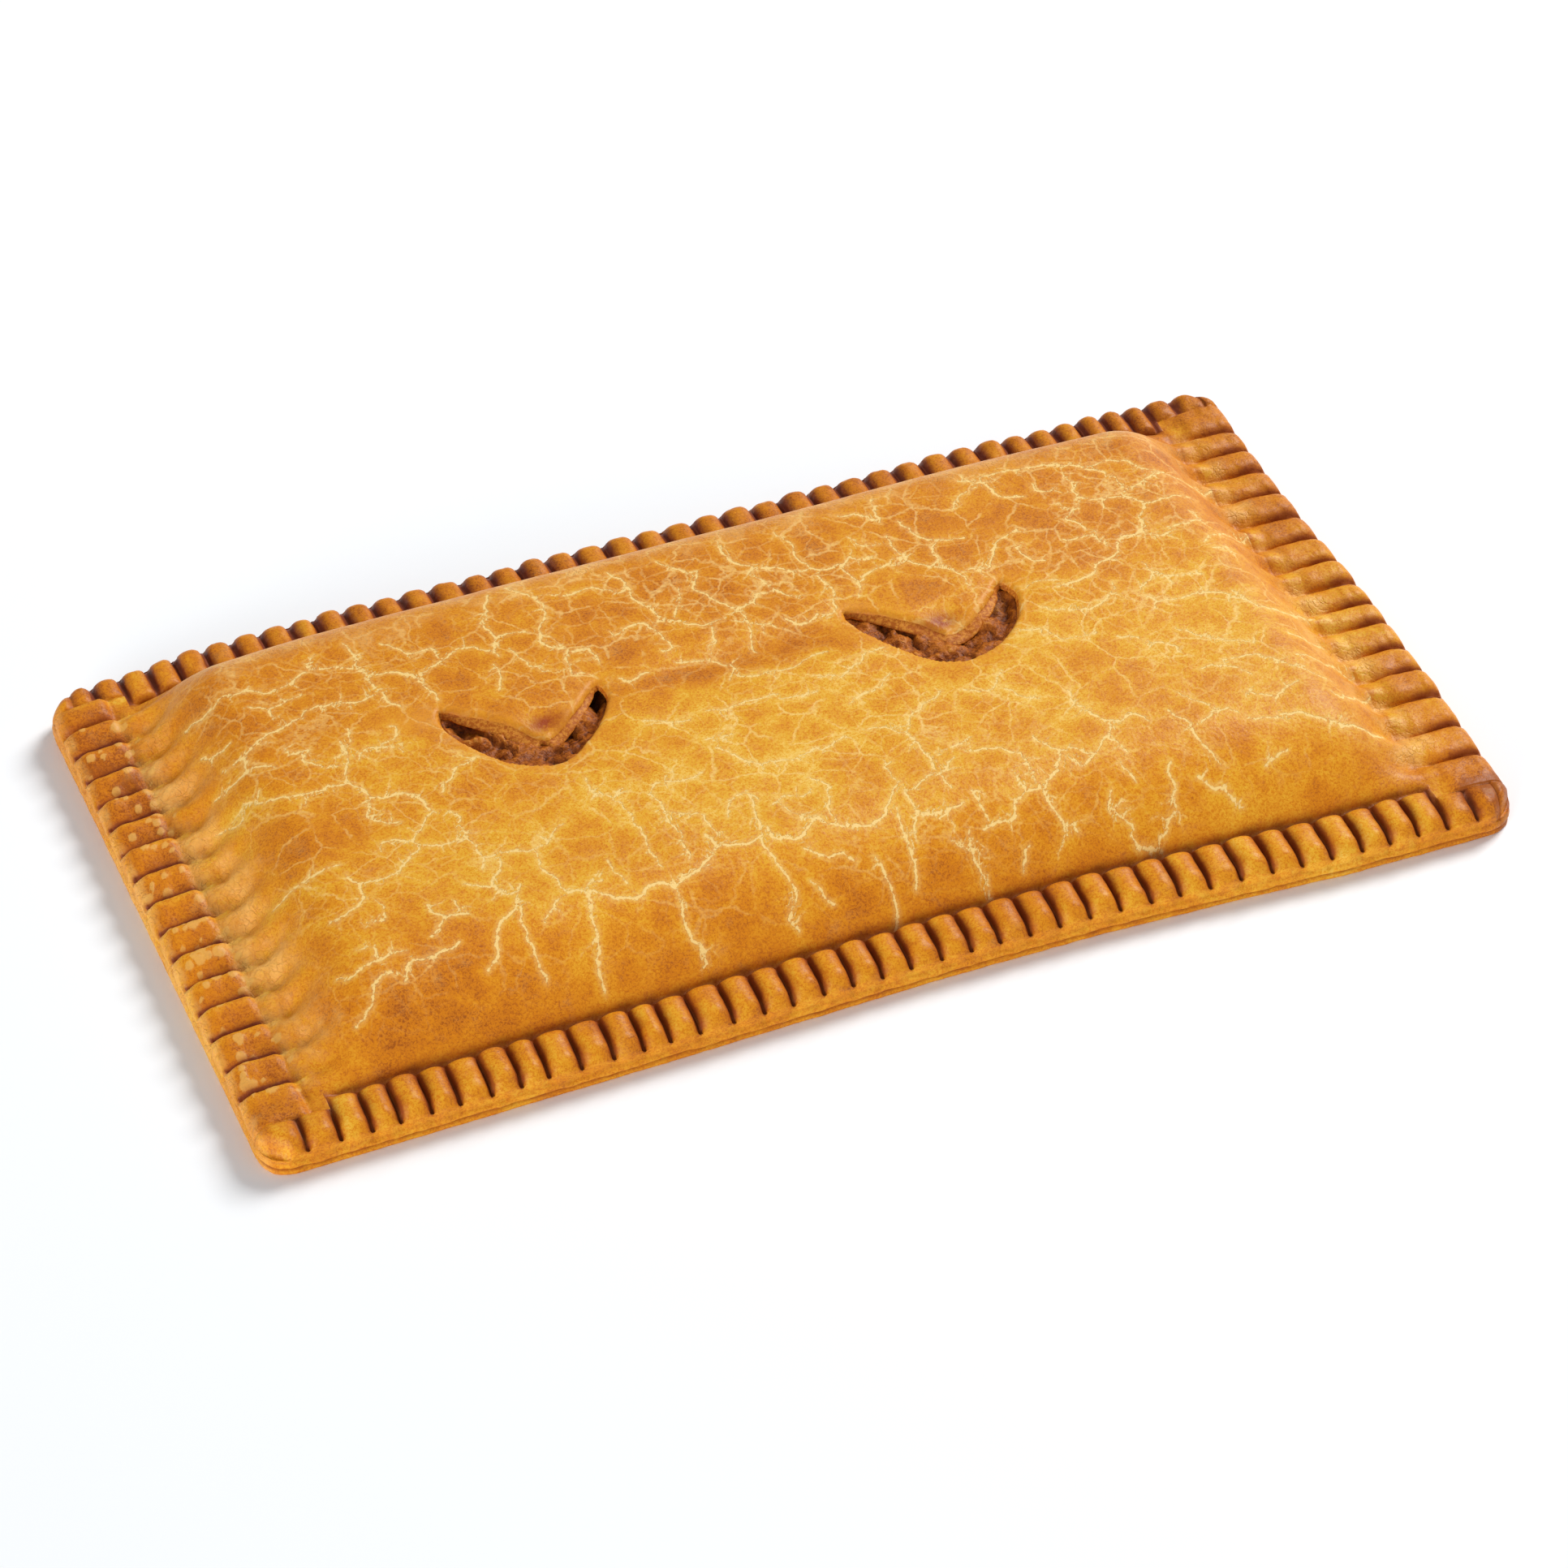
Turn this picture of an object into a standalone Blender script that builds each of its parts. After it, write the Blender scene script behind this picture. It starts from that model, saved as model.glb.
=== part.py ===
"""Flat rectangular empanada: a pinched pastry case, with two V-shaped vents that show its filling.

Two nodes are built: crust, the whole pastry case with its pocket and vents, and filling, the slab that
fills the pocket. Shapes are worked out on the straight rectangle as it was cut, where p runs along the
length and q across it. plan_point() gives the x and y that a point has once baked, with its uneven sides.
"""

import bmesh
import bpy
import numpy as np

MM = 0.001

# The pastry case as it was cut
LENGTH = 260 * MM
WIDTH = 142.4 * MM
CORNER_RADIUS = 7 * MM

# How the four sides ended up: distance along the side, and how far it is from the middle of the case
FRONT_SIDE = np.array([(-125, 70.6), (-50, 69.6), (8, 68.5), (40, 68.8), (70, 70.2), (92, 71.7), (120, 72.2)])
BACK_SIDE = np.array([(-125, 68.6), (-105, 71.1), (-80, 72.8), (25, 72.4), (65, 73.2), (120, 72.1)])
LEFT_SIDE = np.array([(-60, 129.9), (0, 130.1), (60, 130.4)])
RIGHT_SIDE = np.array([(-56, 128.7), (-35, 129.9), (-5, 130.5), (22, 129.6), (49, 129.3), (65, 130.0)])

# The edge is a low wall, with a seam between the lower sheet of dough and the upper one
FOOT_INSET = 0.6 * MM
SEAM_HEIGHT = 1.5 * MM
SEAM_INSET = 0.5 * MM
BELLY_HEIGHT = 2.5 * MM
WALL_TOP = 3.9 * MM
WALL_INSET = 0.25 * MM

# The pinched bars: rounded ridges across the rim, with narrow grooves at these distances along each side
GROOVES = {
    "front": (
        *(-127.8, -121.4, -114.9, -108.7, -103.1, -97.1, -91.4, -85.1, -79.3, -73.8, -67.2, -60.7, -54.7, -49.3),
        *(-43.2, -36.4, -30.1, -24.1, -17.8, -11.7, -5.7, 0.4, 6.8, 13.0, 19.0, 25.3, 31.6, 37.9, 44.2, 50.7),
        *(56.7, 63.1, 69.7, 76.1, 82.3, 88.7, 95.1, 101.2, 107.2, 113.7, 120.4, 126.3),
    ),
    "back": (
        *(-125.5, -120.3, -114.2, -108.1, -102.2, -96.1, -89.9, -83.9, -77.5, -72.1, -66.0, -60.0, -53.8, -47.4),
        *(-40.5, -34.4, -28.0, -22.0, -15.9, -9.2, -2.7, 3.8, 10.4, 16.7, 23.4, 30.0, 36.5, 42.9, 49.5, 56.0),
        *(62.3, 68.7, 75.0, 81.0, 86.9, 92.6, 98.2, 103.6, 108.8, 113.9, 120.2, 126.4),
    ),
    "left": (-53.9, -45.8, -37.0, -29.4, -21.5, -13.0, -5.1, 3.3, 11.4, 19.5, 27.6, 35.1, 43.0, 50.8, 57.8),
    "right": (-54.4, -45.6, -36.1, -28.0, -20.3, -12.1, -5.6, 1.4, 8.9, 17.0, 24.9, 33.4, 41.1, 48.4, 55.6),
}
LONG_RIM = 10.6 * MM  # how far the bars of the long sides reach in from the edge
SHORT_RIM = 15.3 * MM
CORNER_RIM = 7.6 * MM  # the long sides' bars are this short in the corners
CREST_TOP = 8.3 * MM
CREASE_TOP = 6.9 * MM  # the line where the bars end and the dome begins
GROOVE_FLOOR = 4.6 * MM
BAR_END = 3.4 * MM  # length of a bar's rounded outer end
BAR_END_BEND = 1.2 * MM  # the lattice has a line here, where the end turns most
BAR_INNER_END = 2.9 * MM
BAR_STATIONS = np.array([0.0, 0.14, 0.5, 0.86])  # groove, shoulder, crest and other shoulder
BAR_SQUARENESS = 3.0
HEIGHT_DRIFT = 0.35 * MM  # the bars aren't quite level with each other
ON_THE_LINE = 0.001 * MM  # a point this close to a crease lies on it

# The dome over the filling
DOME_RISE = 12.4 * MM
CROWN_RISE = 1.8 * MM
FRONT_SHOULDER = 23 * MM
BACK_SHOULDER = 15 * MM
SIDE_SHOULDER = 17 * MM
SHOULDER_POWER = 2.2
VALLEY_DEPTH = 0.9 * MM  # a shallow fold between the vents
VALLEY_Q = 11.5 * MM
VALLEY_WIDTH = 5 * MM
VALLEY_LENGTH = 20 * MM

# The vents are ribbons bent to a V: each row is a station's x, y and half the ribbon's width
LEFT_VENT = np.array(
    [
        (-62.6, 18.4, 1.5),
        (-60.6, 14.4, 3.4),
        (-55.8, 8.4, 4.8),
        (-50.9, 2.9, 4.9),
        (-46.2, 1.1, 4.4),
        (-41.6, 3.3, 3.6),
        (-37.0, 7.2, 3.0),
        (-33.0, 12.0, 2.2),
        (-31.8, 14.8, 1.1),
    ]
) * MM
RIGHT_VENT = np.array(
    [
        (22.6, 16.4, 1.3),
        (26.0, 11.9, 3.3),
        (31.4, 5.8, 4.5),
        (35.8, 1.1, 4.9),
        (40.2, -0.1, 5.1),
        (45.4, 1.5, 4.6),
        (50.5, 5.4, 4.0),
        (53.8, 10.2, 2.7),
        (54.6, 13.4, 1.3),
    ]
) * MM
RIBBON_STEPS = 4  # outline points from one station to the next
TONGUES = ((-45.4 * MM, 6.0 * MM), (40.6 * MM, 4.6 * MM))  # the flaps between the arms sink most here
TONGUE_SINK = 1.6 * MM
TONGUE_SPREAD = 4.4 * MM

# The pocket and the filling in it
LID_THICKNESS = 2.4 * MM
BASE_THICKNESS = 3.2 * MM
POCKET_LENGTH = 224 * MM
POCKET_WIDTH = 114 * MM
POCKET_CORNER = 9 * MM
POCKET_STEP = 8.5 * MM
VENT_STEP = 3.0 * MM  # the pocket's lattice is finer under the vents
VENT_SPANS = ((-66 * MM, -28 * MM), (19 * MM, 58 * MM))
VENT_REACH = (-8 * MM, 19 * MM)
VENT_CUT_BOTTOM = 7 * MM  # inside the pocket
VENT_CUT_TOP = 30 * MM  # above the lid
CLEARANCE = 0.3 * MM
LUMP_DEPTH = 1.7 * MM
LUMP_WAVES = ((0.62, 0.35), (-0.41, 0.78), (0.93, -0.55), (0.23, 1.14))  # radians per mm along p and q

SEED = 11
CRUST_COLOUR = (0.60, 0.29, 0.07, 1.0)
FILLING_COLOUR = (0.25, 0.09, 0.03, 1.0)


def clear_scene():
    for thing in list(bpy.data.objects):
        bpy.data.objects.remove(thing)


def food_material(name, colour, roughness):
    material = bpy.data.materials.new(name)
    material.use_nodes = True
    shader = material.node_tree.nodes["Principled BSDF"]
    shader.inputs["Base Color"].default_value = colour
    shader.inputs["Roughness"].default_value = roughness
    shader.inputs["Metallic"].default_value = 0.0
    material.diffuse_color = colour
    return material


# ---- the plan ----


def round_corner(p, q, half_length, half_width, radius):
    """Draws the points near a rectangle's corners in, so that its outline turns on an arc."""
    u = np.clip((np.abs(p) - half_length + radius) / radius, 0, 1)
    v = np.clip((np.abs(q) - half_width + radius) / radius, 0, 1)
    shift_p = radius * u * (1 - np.sqrt(1 - v * v / 2))
    shift_q = radius * v * (1 - np.sqrt(1 - u * u / 2))
    return p - np.sign(p) * shift_p, q - np.sign(q) * shift_q


def side_shift(side, along):
    """How much further out a side lies than in the straight rectangle."""
    half_size = WIDTH / 2 if side is FRONT_SIDE or side is BACK_SIDE else LENGTH / 2
    return np.interp(along, side[:, 0] * MM, side[:, 1] * MM) - half_size


def plan_point(p, q):
    """x and y of a point of the baked case. A side's shift fades out towards the opposite side."""
    to_back = np.clip(q / WIDTH + 0.5, 0, 1)
    to_right = np.clip(p / LENGTH + 0.5, 0, 1)
    x = p + to_right * side_shift(RIGHT_SIDE, q) - (1 - to_right) * side_shift(LEFT_SIDE, q)
    y = q + to_back * side_shift(BACK_SIDE, p) - (1 - to_back) * side_shift(FRONT_SIDE, p)
    return x, y


# ---- where the pinches are ----


def make_pinches():
    """Boundaries and height changes of the bars on the four sides."""
    random = np.random.default_rng(SEED)
    half_length = LENGTH / 2 - WALL_INSET
    half_short = WIDTH / 2 - CORNER_RIM
    ends = {"front": half_length, "back": half_length, "left": half_short, "right": half_short}
    pinches, heights = {}, {}
    for side, end in ends.items():
        pinches[side] = np.concatenate([[-end], np.array(GROOVES[side]) * MM, [end]])
        heights[side] = random.uniform(-HEIGHT_DRIFT, HEIGHT_DRIFT, len(pinches[side]))
    return pinches, heights


PINCHES, BAR_HEIGHTS = make_pinches()


def bar_at(side, along):
    """How far up its bar's round section a point is, from 0 in a groove to 1, and the bar's own rise."""
    lines = PINCHES[side]
    bar = np.clip(np.searchsorted(lines, along, side="right") - 1, 0, len(lines) - 2)
    across = np.clip((along - lines[bar]) / (lines[bar + 1] - lines[bar]), 0, 1)
    section = np.sqrt(1 - np.abs(2 * across - 1) ** BAR_SQUARENESS)
    return section, BAR_HEIGHTS[side][bar]


# ---- heights ----


def round_end(t):
    """A quarter of an ellipse: 0 at 0, upright there, and level from 1 on."""
    return np.sqrt(1 - (1 - np.clip(t, 0, 1)) ** 2)


def rim_height(inward, length, section, rise):
    """A bar's height at a distance inward from the edge, for a bar of the given length."""
    top = CREST_TOP + rise
    crest = WALL_TOP + (top - WALL_TOP) * round_end(inward / BAR_END)
    crest = crest - (top - CREASE_TOP) * (1 - round_end((length - inward) / BAR_INNER_END))
    start = WALL_TOP + (GROOVE_FLOOR - WALL_TOP) * np.clip(inward / BAR_END, 0, 1)
    groove = start + (CREASE_TOP - GROOVE_FLOOR) * np.clip(inward / length, 0, 1) ** 2
    return groove + (crest - groove) * section


def shoulder(inward, width):
    """The dome's rise over its shoulder, from 0 at the crease to 1."""
    return 1 - (1 - np.clip(inward / width, 0, 1)) ** SHOULDER_POWER


def dome_height(p, q):
    """The lid over the filling: a pillow, steeper at the back than in front."""
    pillow = (
        shoulder(LENGTH / 2 - SHORT_RIM - np.abs(p), SIDE_SHOULDER)
        * shoulder(WIDTH / 2 - LONG_RIM + q, FRONT_SHOULDER)
        * shoulder(WIDTH / 2 - LONG_RIM - q, BACK_SHOULDER)
    )
    crown = (1 - (2 * p / LENGTH) ** 2) * (1 - (2 * q / WIDTH) ** 2)
    height = CREASE_TOP + pillow * (DOME_RISE + CROWN_RISE * crown)
    into_valley = ((q - VALLEY_Q) / VALLEY_WIDTH) ** 2 + (p / VALLEY_LENGTH) ** 4
    height = height - VALLEY_DEPTH * np.exp(-into_valley)
    for tongue_p, tongue_q in TONGUES:
        away = np.hypot(p - tongue_p, q - tongue_q)
        height = height - TONGUE_SINK * np.exp(-((away / TONGUE_SPREAD) ** 2))
    return height


def lid_height(p, q):
    """The whole upper surface, from the wall's top over the bars to the dome."""
    from_short = LENGTH / 2 - np.abs(p)
    from_long = WIDTH / 2 - np.abs(q)
    front, back = bar_at("front", p), bar_at("back", p)
    left, right = bar_at("left", q), bar_at("right", q)
    long_bar = [np.where(q < 0, a, b) for a, b in zip(front, back)]
    short_bar = [np.where(p < 0, a, b) for a, b in zip(left, right)]
    in_end = from_short < SHORT_RIM - ON_THE_LINE
    in_corner = in_end & (from_long < CORNER_RIM - ON_THE_LINE)
    in_long = ~in_end & (from_long < LONG_RIM - ON_THE_LINE)
    height = dome_height(p, q)
    height = np.where(in_long, rim_height(from_long, LONG_RIM, *long_bar), height)
    height = np.where(in_end, rim_height(from_short, SHORT_RIM, *short_bar), height)
    return np.where(in_corner, rim_height(from_long, CORNER_RIM, *long_bar), height)


# ---- the crust's lattice ----


def across_bars(lines):
    """Lattice lines over a row of bars: BAR_STATIONS in each one, and its last boundary."""
    starts, widths = lines[:-1], np.diff(lines)
    stations = starts[:, None] + widths[:, None] * BAR_STATIONS[None, :]
    return np.append(stations.ravel(), lines[-1])


def lattice_columns(side):
    """Columns over a long side's bars, with one on the crease of each short side."""
    columns = across_bars(PINCHES[side])
    crease = LENGTH / 2 - SHORT_RIM
    columns[LEFT_CREASE] = -crease
    columns[RIGHT_CREASE] = crease
    return columns


def lattice_rows(side):
    """Rows over the long sides' rim, and between them over a short side's bars."""
    rim = WIDTH / 2 - np.array([WALL_INSET, BAR_END_BEND, BAR_END, CORNER_RIM, LONG_RIM])
    lines = PINCHES[side]
    first = lines[0] + (lines[1] - lines[0]) * BAR_STATIONS[2:]
    last = lines[-2] + (lines[-1] - lines[-2]) * BAR_STATIONS[1:2]
    return np.concatenate([-rim, first, across_bars(lines[1:-1]), last, rim[::-1]])


# Lattice numbers: how many lines there are, those on the creases, and those kept over the short sides' rims
PER_BAR = len(BAR_STATIONS)
COLUMNS = (len(PINCHES["front"]) - 1) * PER_BAR + 1
RIM_ROWS = 5
ROWS = 2 * RIM_ROWS + (len(PINCHES["left"]) - 3) * PER_BAR + 4
FRONT_CREASE = RIM_ROWS - 1
BACK_CREASE = ROWS - RIM_ROWS
FIRST_GROOVE_ROW = RIM_ROWS + 2
LEFT_CREASE = 12
RIGHT_CREASE = COLUMNS - 12
LEFT_RIM_LINES = [0, 2, 4, 6, 10, LEFT_CREASE]
RIGHT_RIM_LINES = [RIGHT_CREASE] + [COLUMNS - 1 - line for line in (10, 6, 4, 2, 0)]


def crust_lattice():
    """Plan coordinates of every lattice crossing. The front's columns drift into the back's, and the left's
    rows into the right's, so that each side keeps its own pinches."""
    front, back = lattice_columns("front"), lattice_columns("back")
    left, right = lattice_rows("left"), lattice_rows("right")
    inner_width, inner_length = WIDTH - 2 * LONG_RIM, LENGTH - 2 * SHORT_RIM
    to_back = np.clip(left / inner_width + 0.5, 0, 1)
    to_right = np.clip(front / inner_length + 0.5, 0, 1)
    p = front[:, None] + (back - front)[:, None] * to_back[None, :]
    q = left[None, :] + (right - left)[None, :] * to_right[:, None]
    return p, q


def dome_lines(first, last, grooves, halves):
    """Coarse lattice lines over the dome: its edges, the grooves', and the crests' where halves says so."""
    lines = [first]
    for line in grooves:
        crest = line + PER_BAR // 2
        if first + 1 < line < last:
            lines.append(line)
        if first + 1 < crest < last - 1 and halves(crest):
            lines.append(crest)
    return lines + [last]


def crust_cells():
    """Cells of the upper surface as (i0, i1, j0, j1), fine round the rim and larger over the dome."""
    columns = lattice_columns("front")
    rows = lattice_rows("left")

    def fine_column(i):
        under_vent = any(low < columns[i] < high for low, high in VENT_SPANS)
        return under_vent or abs(columns[i]) > LENGTH / 2 - SHORT_RIM - SIDE_SHOULDER

    def fine_row(j):
        under_vent = VENT_REACH[0] < rows[j] < VENT_REACH[1]
        on_front = rows[j] < -WIDTH / 2 + LONG_RIM + FRONT_SHOULDER / 2
        return under_vent or on_front or rows[j] > WIDTH / 2 - LONG_RIM - BACK_SHOULDER

    across = dome_lines(LEFT_CREASE, RIGHT_CREASE, range(LEFT_CREASE, RIGHT_CREASE, PER_BAR), fine_column)
    along = dome_lines(FRONT_CREASE, BACK_CREASE, range(FIRST_GROOVE_ROW, BACK_CREASE, PER_BAR), fine_row)
    rim_rows = list(range(FRONT_CREASE)) + list(range(BACK_CREASE, ROWS - 1))
    cells = [(i, i + 1, j, j + 1) for i in range(COLUMNS - 1) for j in rim_rows]
    for lines in (LEFT_RIM_LINES, RIGHT_RIM_LINES):
        for j in range(FRONT_CREASE, BACK_CREASE):
            cells += [(a, b, j, j + 1) for a, b in zip(lines, lines[1:])]
    cells += [(a, b, c, d) for a, b in zip(across, across[1:]) for c, d in zip(along, along[1:])]
    return cells


def cell_loop(cell, used):
    """The used lattice points round a cell, so that a large cell takes in its small neighbours' corners."""
    i0, i1, j0, j1 = cell
    loop = [(i, j0) for i in range(i0, i1)]
    loop += [(i1, j) for j in range(j0, j1)]
    loop += [(i, j1) for i in range(i1, i0, -1)]
    loop += [(i0, j) for j in range(j1, j0, -1)]
    return [point for point in loop if point in used]


def outline(count_i, count_j):
    """Lattice numbers round the whole lattice, counter-clockwise from the front left."""
    last_i, last_j = count_i - 1, count_j - 1
    ring = [(i, 0) for i in range(last_i)]
    ring += [(last_i, j) for j in range(last_j)]
    ring += [(i, last_j) for i in range(last_i, 0, -1)]
    return ring + [(0, j) for j in range(last_j, 0, -1)]


def case_point(p, q, z, inset=0.0):
    """A point of the case in space. An inset draws the whole outline in."""
    p = p * (1 - inset / (LENGTH / 2))
    q = q * (1 - inset / (WIDTH / 2))
    x, y = plan_point(*round_corner(p, q, LENGTH / 2, WIDTH / 2, CORNER_RADIUS))
    return float(x), float(y), float(z)


def add_band(mesh, lower, upper):
    """Joins two rings of the same length with a band of faces that look outward."""
    count = len(lower)
    for k in range(count):
        after = (k + 1) % count
        mesh.faces.new([lower[k], lower[after], upper[after], upper[k]])


def finish_mesh(mesh, name, material):
    bmesh.ops.triangulate(mesh, faces=mesh.faces[:])
    bmesh.ops.recalc_face_normals(mesh, faces=mesh.faces[:])
    for face in mesh.faces:
        face.smooth = True
    data = bpy.data.meshes.new(name)
    mesh.to_mesh(data)
    mesh.free()
    if material is not None:
        data.materials.append(material)
    thing = bpy.data.objects.new(name, data)
    bpy.context.scene.collection.objects.link(thing)
    return thing


def solid_case(material):
    """The case without its pocket: lid, wall and flat base."""
    p, q = crust_lattice()
    cells = crust_cells()
    used = {(i, j) for i0, i1, j0, j1 in cells for i in (i0, i1) for j in (j0, j1)}
    mesh = bmesh.new()
    heights = lid_height(p, q)
    top = {index: mesh.verts.new(case_point(p[index], q[index], heights[index])) for index in sorted(used)}
    for cell in cells:
        loop = cell_loop(cell, used)
        corners = [top[index] for index in loop]
        if len(loop) == 4:
            mesh.faces.new(corners)
            continue
        middle_p = np.mean([p[index] for index in loop])
        middle_q = np.mean([q[index] for index in loop])
        middle = mesh.verts.new(case_point(middle_p, middle_q, lid_height(middle_p, middle_q)))
        for k, corner in enumerate(corners):
            mesh.faces.new([corner, corners[(k + 1) % len(corners)], middle])
    ring = outline(COLUMNS, ROWS)
    levels = ((0.0, FOOT_INSET), (SEAM_HEIGHT, SEAM_INSET), (BELLY_HEIGHT, 0.0))
    rings = []
    for height, inset in levels:
        step = inset - WALL_INSET
        rings.append([mesh.verts.new(case_point(p[index], q[index], height, step)) for index in ring])
    rings.append([top[index] for index in ring])
    for lower, upper in zip(rings, rings[1:]):
        add_band(mesh, lower, upper)
    mesh.faces.new(rings[0][::-1])
    return finish_mesh(mesh, "crust", material)


# ---- pocket, filling and vents ----


def mixed_lines(low, high, spans):
    """Lines from low to high, close together inside the spans and wide apart elsewhere."""
    stops = [low] + [end for span in spans for end in span] + [high]
    lines = []
    for k, (start, end) in enumerate(zip(stops, stops[1:])):
        step = VENT_STEP if k % 2 else POCKET_STEP
        count = int(np.ceil((end - start) / step))
        lines.append(np.linspace(start, end, count, endpoint=False))
    return np.append(np.concatenate(lines), high)


def lump_depth(p, q):
    """How far the filling lies below the lid's underside, as crossed waves between 0 and LUMP_DEPTH."""
    total = sum(np.sin(a * p / MM + b * q / MM) for a, b in LUMP_WAVES)
    return LUMP_DEPTH * (0.5 + 0.5 * total / len(LUMP_WAVES))


def pocket_body(name, gap, lumps, material):
    """A body that fills the case up to a gap from the pocket's walls."""
    half_length, half_width = POCKET_LENGTH / 2 - gap, POCKET_WIDTH / 2 - gap
    columns = mixed_lines(-POCKET_LENGTH / 2, POCKET_LENGTH / 2, VENT_SPANS)
    rows = mixed_lines(-POCKET_WIDTH / 2, POCKET_WIDTH / 2, (VENT_REACH,))
    p, q = np.meshgrid(columns, rows, indexing="ij")
    z = dome_height(p, q) - LID_THICKNESS - gap
    if lumps:
        z = z - lump_depth(p, q)
    p = p * half_length / (POCKET_LENGTH / 2)
    q = q * half_width / (POCKET_WIDTH / 2)
    x, y = plan_point(*round_corner(p, q, half_length, half_width, POCKET_CORNER))
    mesh = bmesh.new()
    top = {index: mesh.verts.new((x[index], y[index], z[index])) for index in np.ndindex(x.shape)}
    for i in range(len(columns) - 1):
        for j in range(len(rows) - 1):
            mesh.faces.new([top[i, j], top[i + 1, j], top[i + 1, j + 1], top[i, j + 1]])
    ring = outline(*x.shape)
    floor = BASE_THICKNESS + gap
    bottom = [mesh.verts.new((x[index], y[index], floor)) for index in ring]
    add_band(mesh, bottom, [top[index] for index in ring])
    mesh.faces.new(bottom[::-1])
    return finish_mesh(mesh, name, material)


def smooth_stations(stations):
    """A curve through the stations by cubic segments, as in a Catmull-Rom spline."""
    padded = np.concatenate([2 * stations[:1] - stations[1:2], stations, 2 * stations[-1:] - stations[-2:-1]])
    before, start, end, after = padded[:-3], padded[1:-2], padded[2:-1], padded[3:]
    pieces = []
    for t in np.arange(RIBBON_STEPS) / RIBBON_STEPS:
        bend = 2 * before - 5 * start + 4 * end - after
        twist = 3 * (start - end) + after - before
        pieces.append(start + 0.5 * t * ((end - before) + t * (bend + t * twist)))
    curve = np.stack(pieces, axis=1).reshape(-1, stations.shape[1])
    return np.concatenate([curve, stations[-1:]])


def vent_outline(stations):
    """The ribbon's outline in x and y, with its two ends rounded."""
    curve = smooth_stations(stations)
    along = np.gradient(curve[:, :2], axis=0)
    along = along / np.linalg.norm(along, axis=1, keepdims=True)
    normal = np.stack([-along[:, 1], along[:, 0]], axis=1)
    far_side = curve[:, :2] + normal * curve[:, 2:]
    near_side = curve[:, :2] - normal * curve[:, 2:]
    end_tip = curve[-1:, :2] + along[-1:] * curve[-1:, 2:]
    start_tip = curve[:1, :2] - along[:1] * curve[:1, 2:]
    return np.concatenate([near_side, end_tip, far_side[::-1], start_tip])


def vent_cutter(name, stations):
    """An upright prism over a vent, from inside the pocket to above the lid."""
    x, y = vent_outline(stations).T
    mesh = bmesh.new()
    rings = []
    for z in (VENT_CUT_BOTTOM, VENT_CUT_TOP):
        rings.append([mesh.verts.new((a, b, z)) for a, b in zip(x, y)])
    add_band(mesh, *rings)
    mesh.faces.new(rings[0][::-1])
    mesh.faces.new(rings[1])
    return finish_mesh(mesh, name, None)


def cut_away(body, cutters):
    """Subtracts the cutters from the body in one Boolean."""
    group = bpy.data.collections.new("cutters")
    bpy.context.scene.collection.children.link(group)
    for cutter in cutters:
        bpy.context.scene.collection.objects.unlink(cutter)
        group.objects.link(cutter)
        cutter.hide_render = True
        cutter.display_type = "WIRE"
    cut = body.modifiers.new("pocket and vents", "BOOLEAN")
    cut.operation = "DIFFERENCE"
    cut.operand_type = "COLLECTION"
    cut.collection = group
    cut.solver = "EXACT"


def centre_on_origin(things):
    """Moves the meshes together so that the case's box is centred over the origin."""
    corners = np.array([vertex.co for vertex in things[0].data.vertices])
    middle = (corners.min(axis=0) + corners.max(axis=0)) / 2
    for thing in things:
        for vertex in thing.data.vertices:
            vertex.co.x -= middle[0]
            vertex.co.y -= middle[1]


def build():
    clear_scene()
    crust = solid_case(food_material("baked pastry", CRUST_COLOUR, 0.55))
    filling = pocket_body("filling", CLEARANCE, True, food_material("moist filling", FILLING_COLOUR, 0.35))
    pocket = pocket_body("pocket_cutter", 0.0, False, None)
    vents = [vent_cutter("left_vent_cutter", LEFT_VENT), vent_cutter("right_vent_cutter", RIGHT_VENT)]
    centre_on_origin([crust, filling, pocket, *vents])
    cut_away(crust, [pocket, *vents])


build()
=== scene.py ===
# %% [markdown]
# # A baked empanada with two vents
#
# The real thing is one flat rectangular pastry, about 26 cm long. Two sheets of dough enclose a meat filling,
# their edges are pinched into a row of small bars, and two V-shaped vents in the lid show what is inside.
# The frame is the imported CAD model: a crust and a filling. This lesson replaces both with finely worked
# surfaces of the same form, and gives them the glaze, the cracks and the browning that make it look baked.

import bpy
import numpy as np
from mathutils import Matrix


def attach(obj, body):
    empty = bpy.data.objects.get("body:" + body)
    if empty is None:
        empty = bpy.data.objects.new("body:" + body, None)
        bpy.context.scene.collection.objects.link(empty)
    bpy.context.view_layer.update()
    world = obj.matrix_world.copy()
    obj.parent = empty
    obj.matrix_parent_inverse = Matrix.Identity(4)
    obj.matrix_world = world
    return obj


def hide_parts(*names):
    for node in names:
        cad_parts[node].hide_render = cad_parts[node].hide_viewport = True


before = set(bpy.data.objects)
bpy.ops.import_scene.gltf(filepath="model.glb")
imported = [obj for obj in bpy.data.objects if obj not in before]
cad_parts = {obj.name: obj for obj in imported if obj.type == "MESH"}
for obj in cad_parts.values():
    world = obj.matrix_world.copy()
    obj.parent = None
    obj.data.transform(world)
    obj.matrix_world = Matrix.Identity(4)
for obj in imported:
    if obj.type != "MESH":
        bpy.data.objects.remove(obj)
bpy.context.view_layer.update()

# %% [markdown]
# ## The plan of the pastry
#
# The dough was cut as a straight rectangle, and its four sides came out of the oven slightly bowed. So every
# shape is worked out on the straight rectangle, with p along it and q across it, and one function says where
# such a point lies once baked. Lengths are in millimetres until a mesh is made, as recipes and rulers are.

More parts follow.
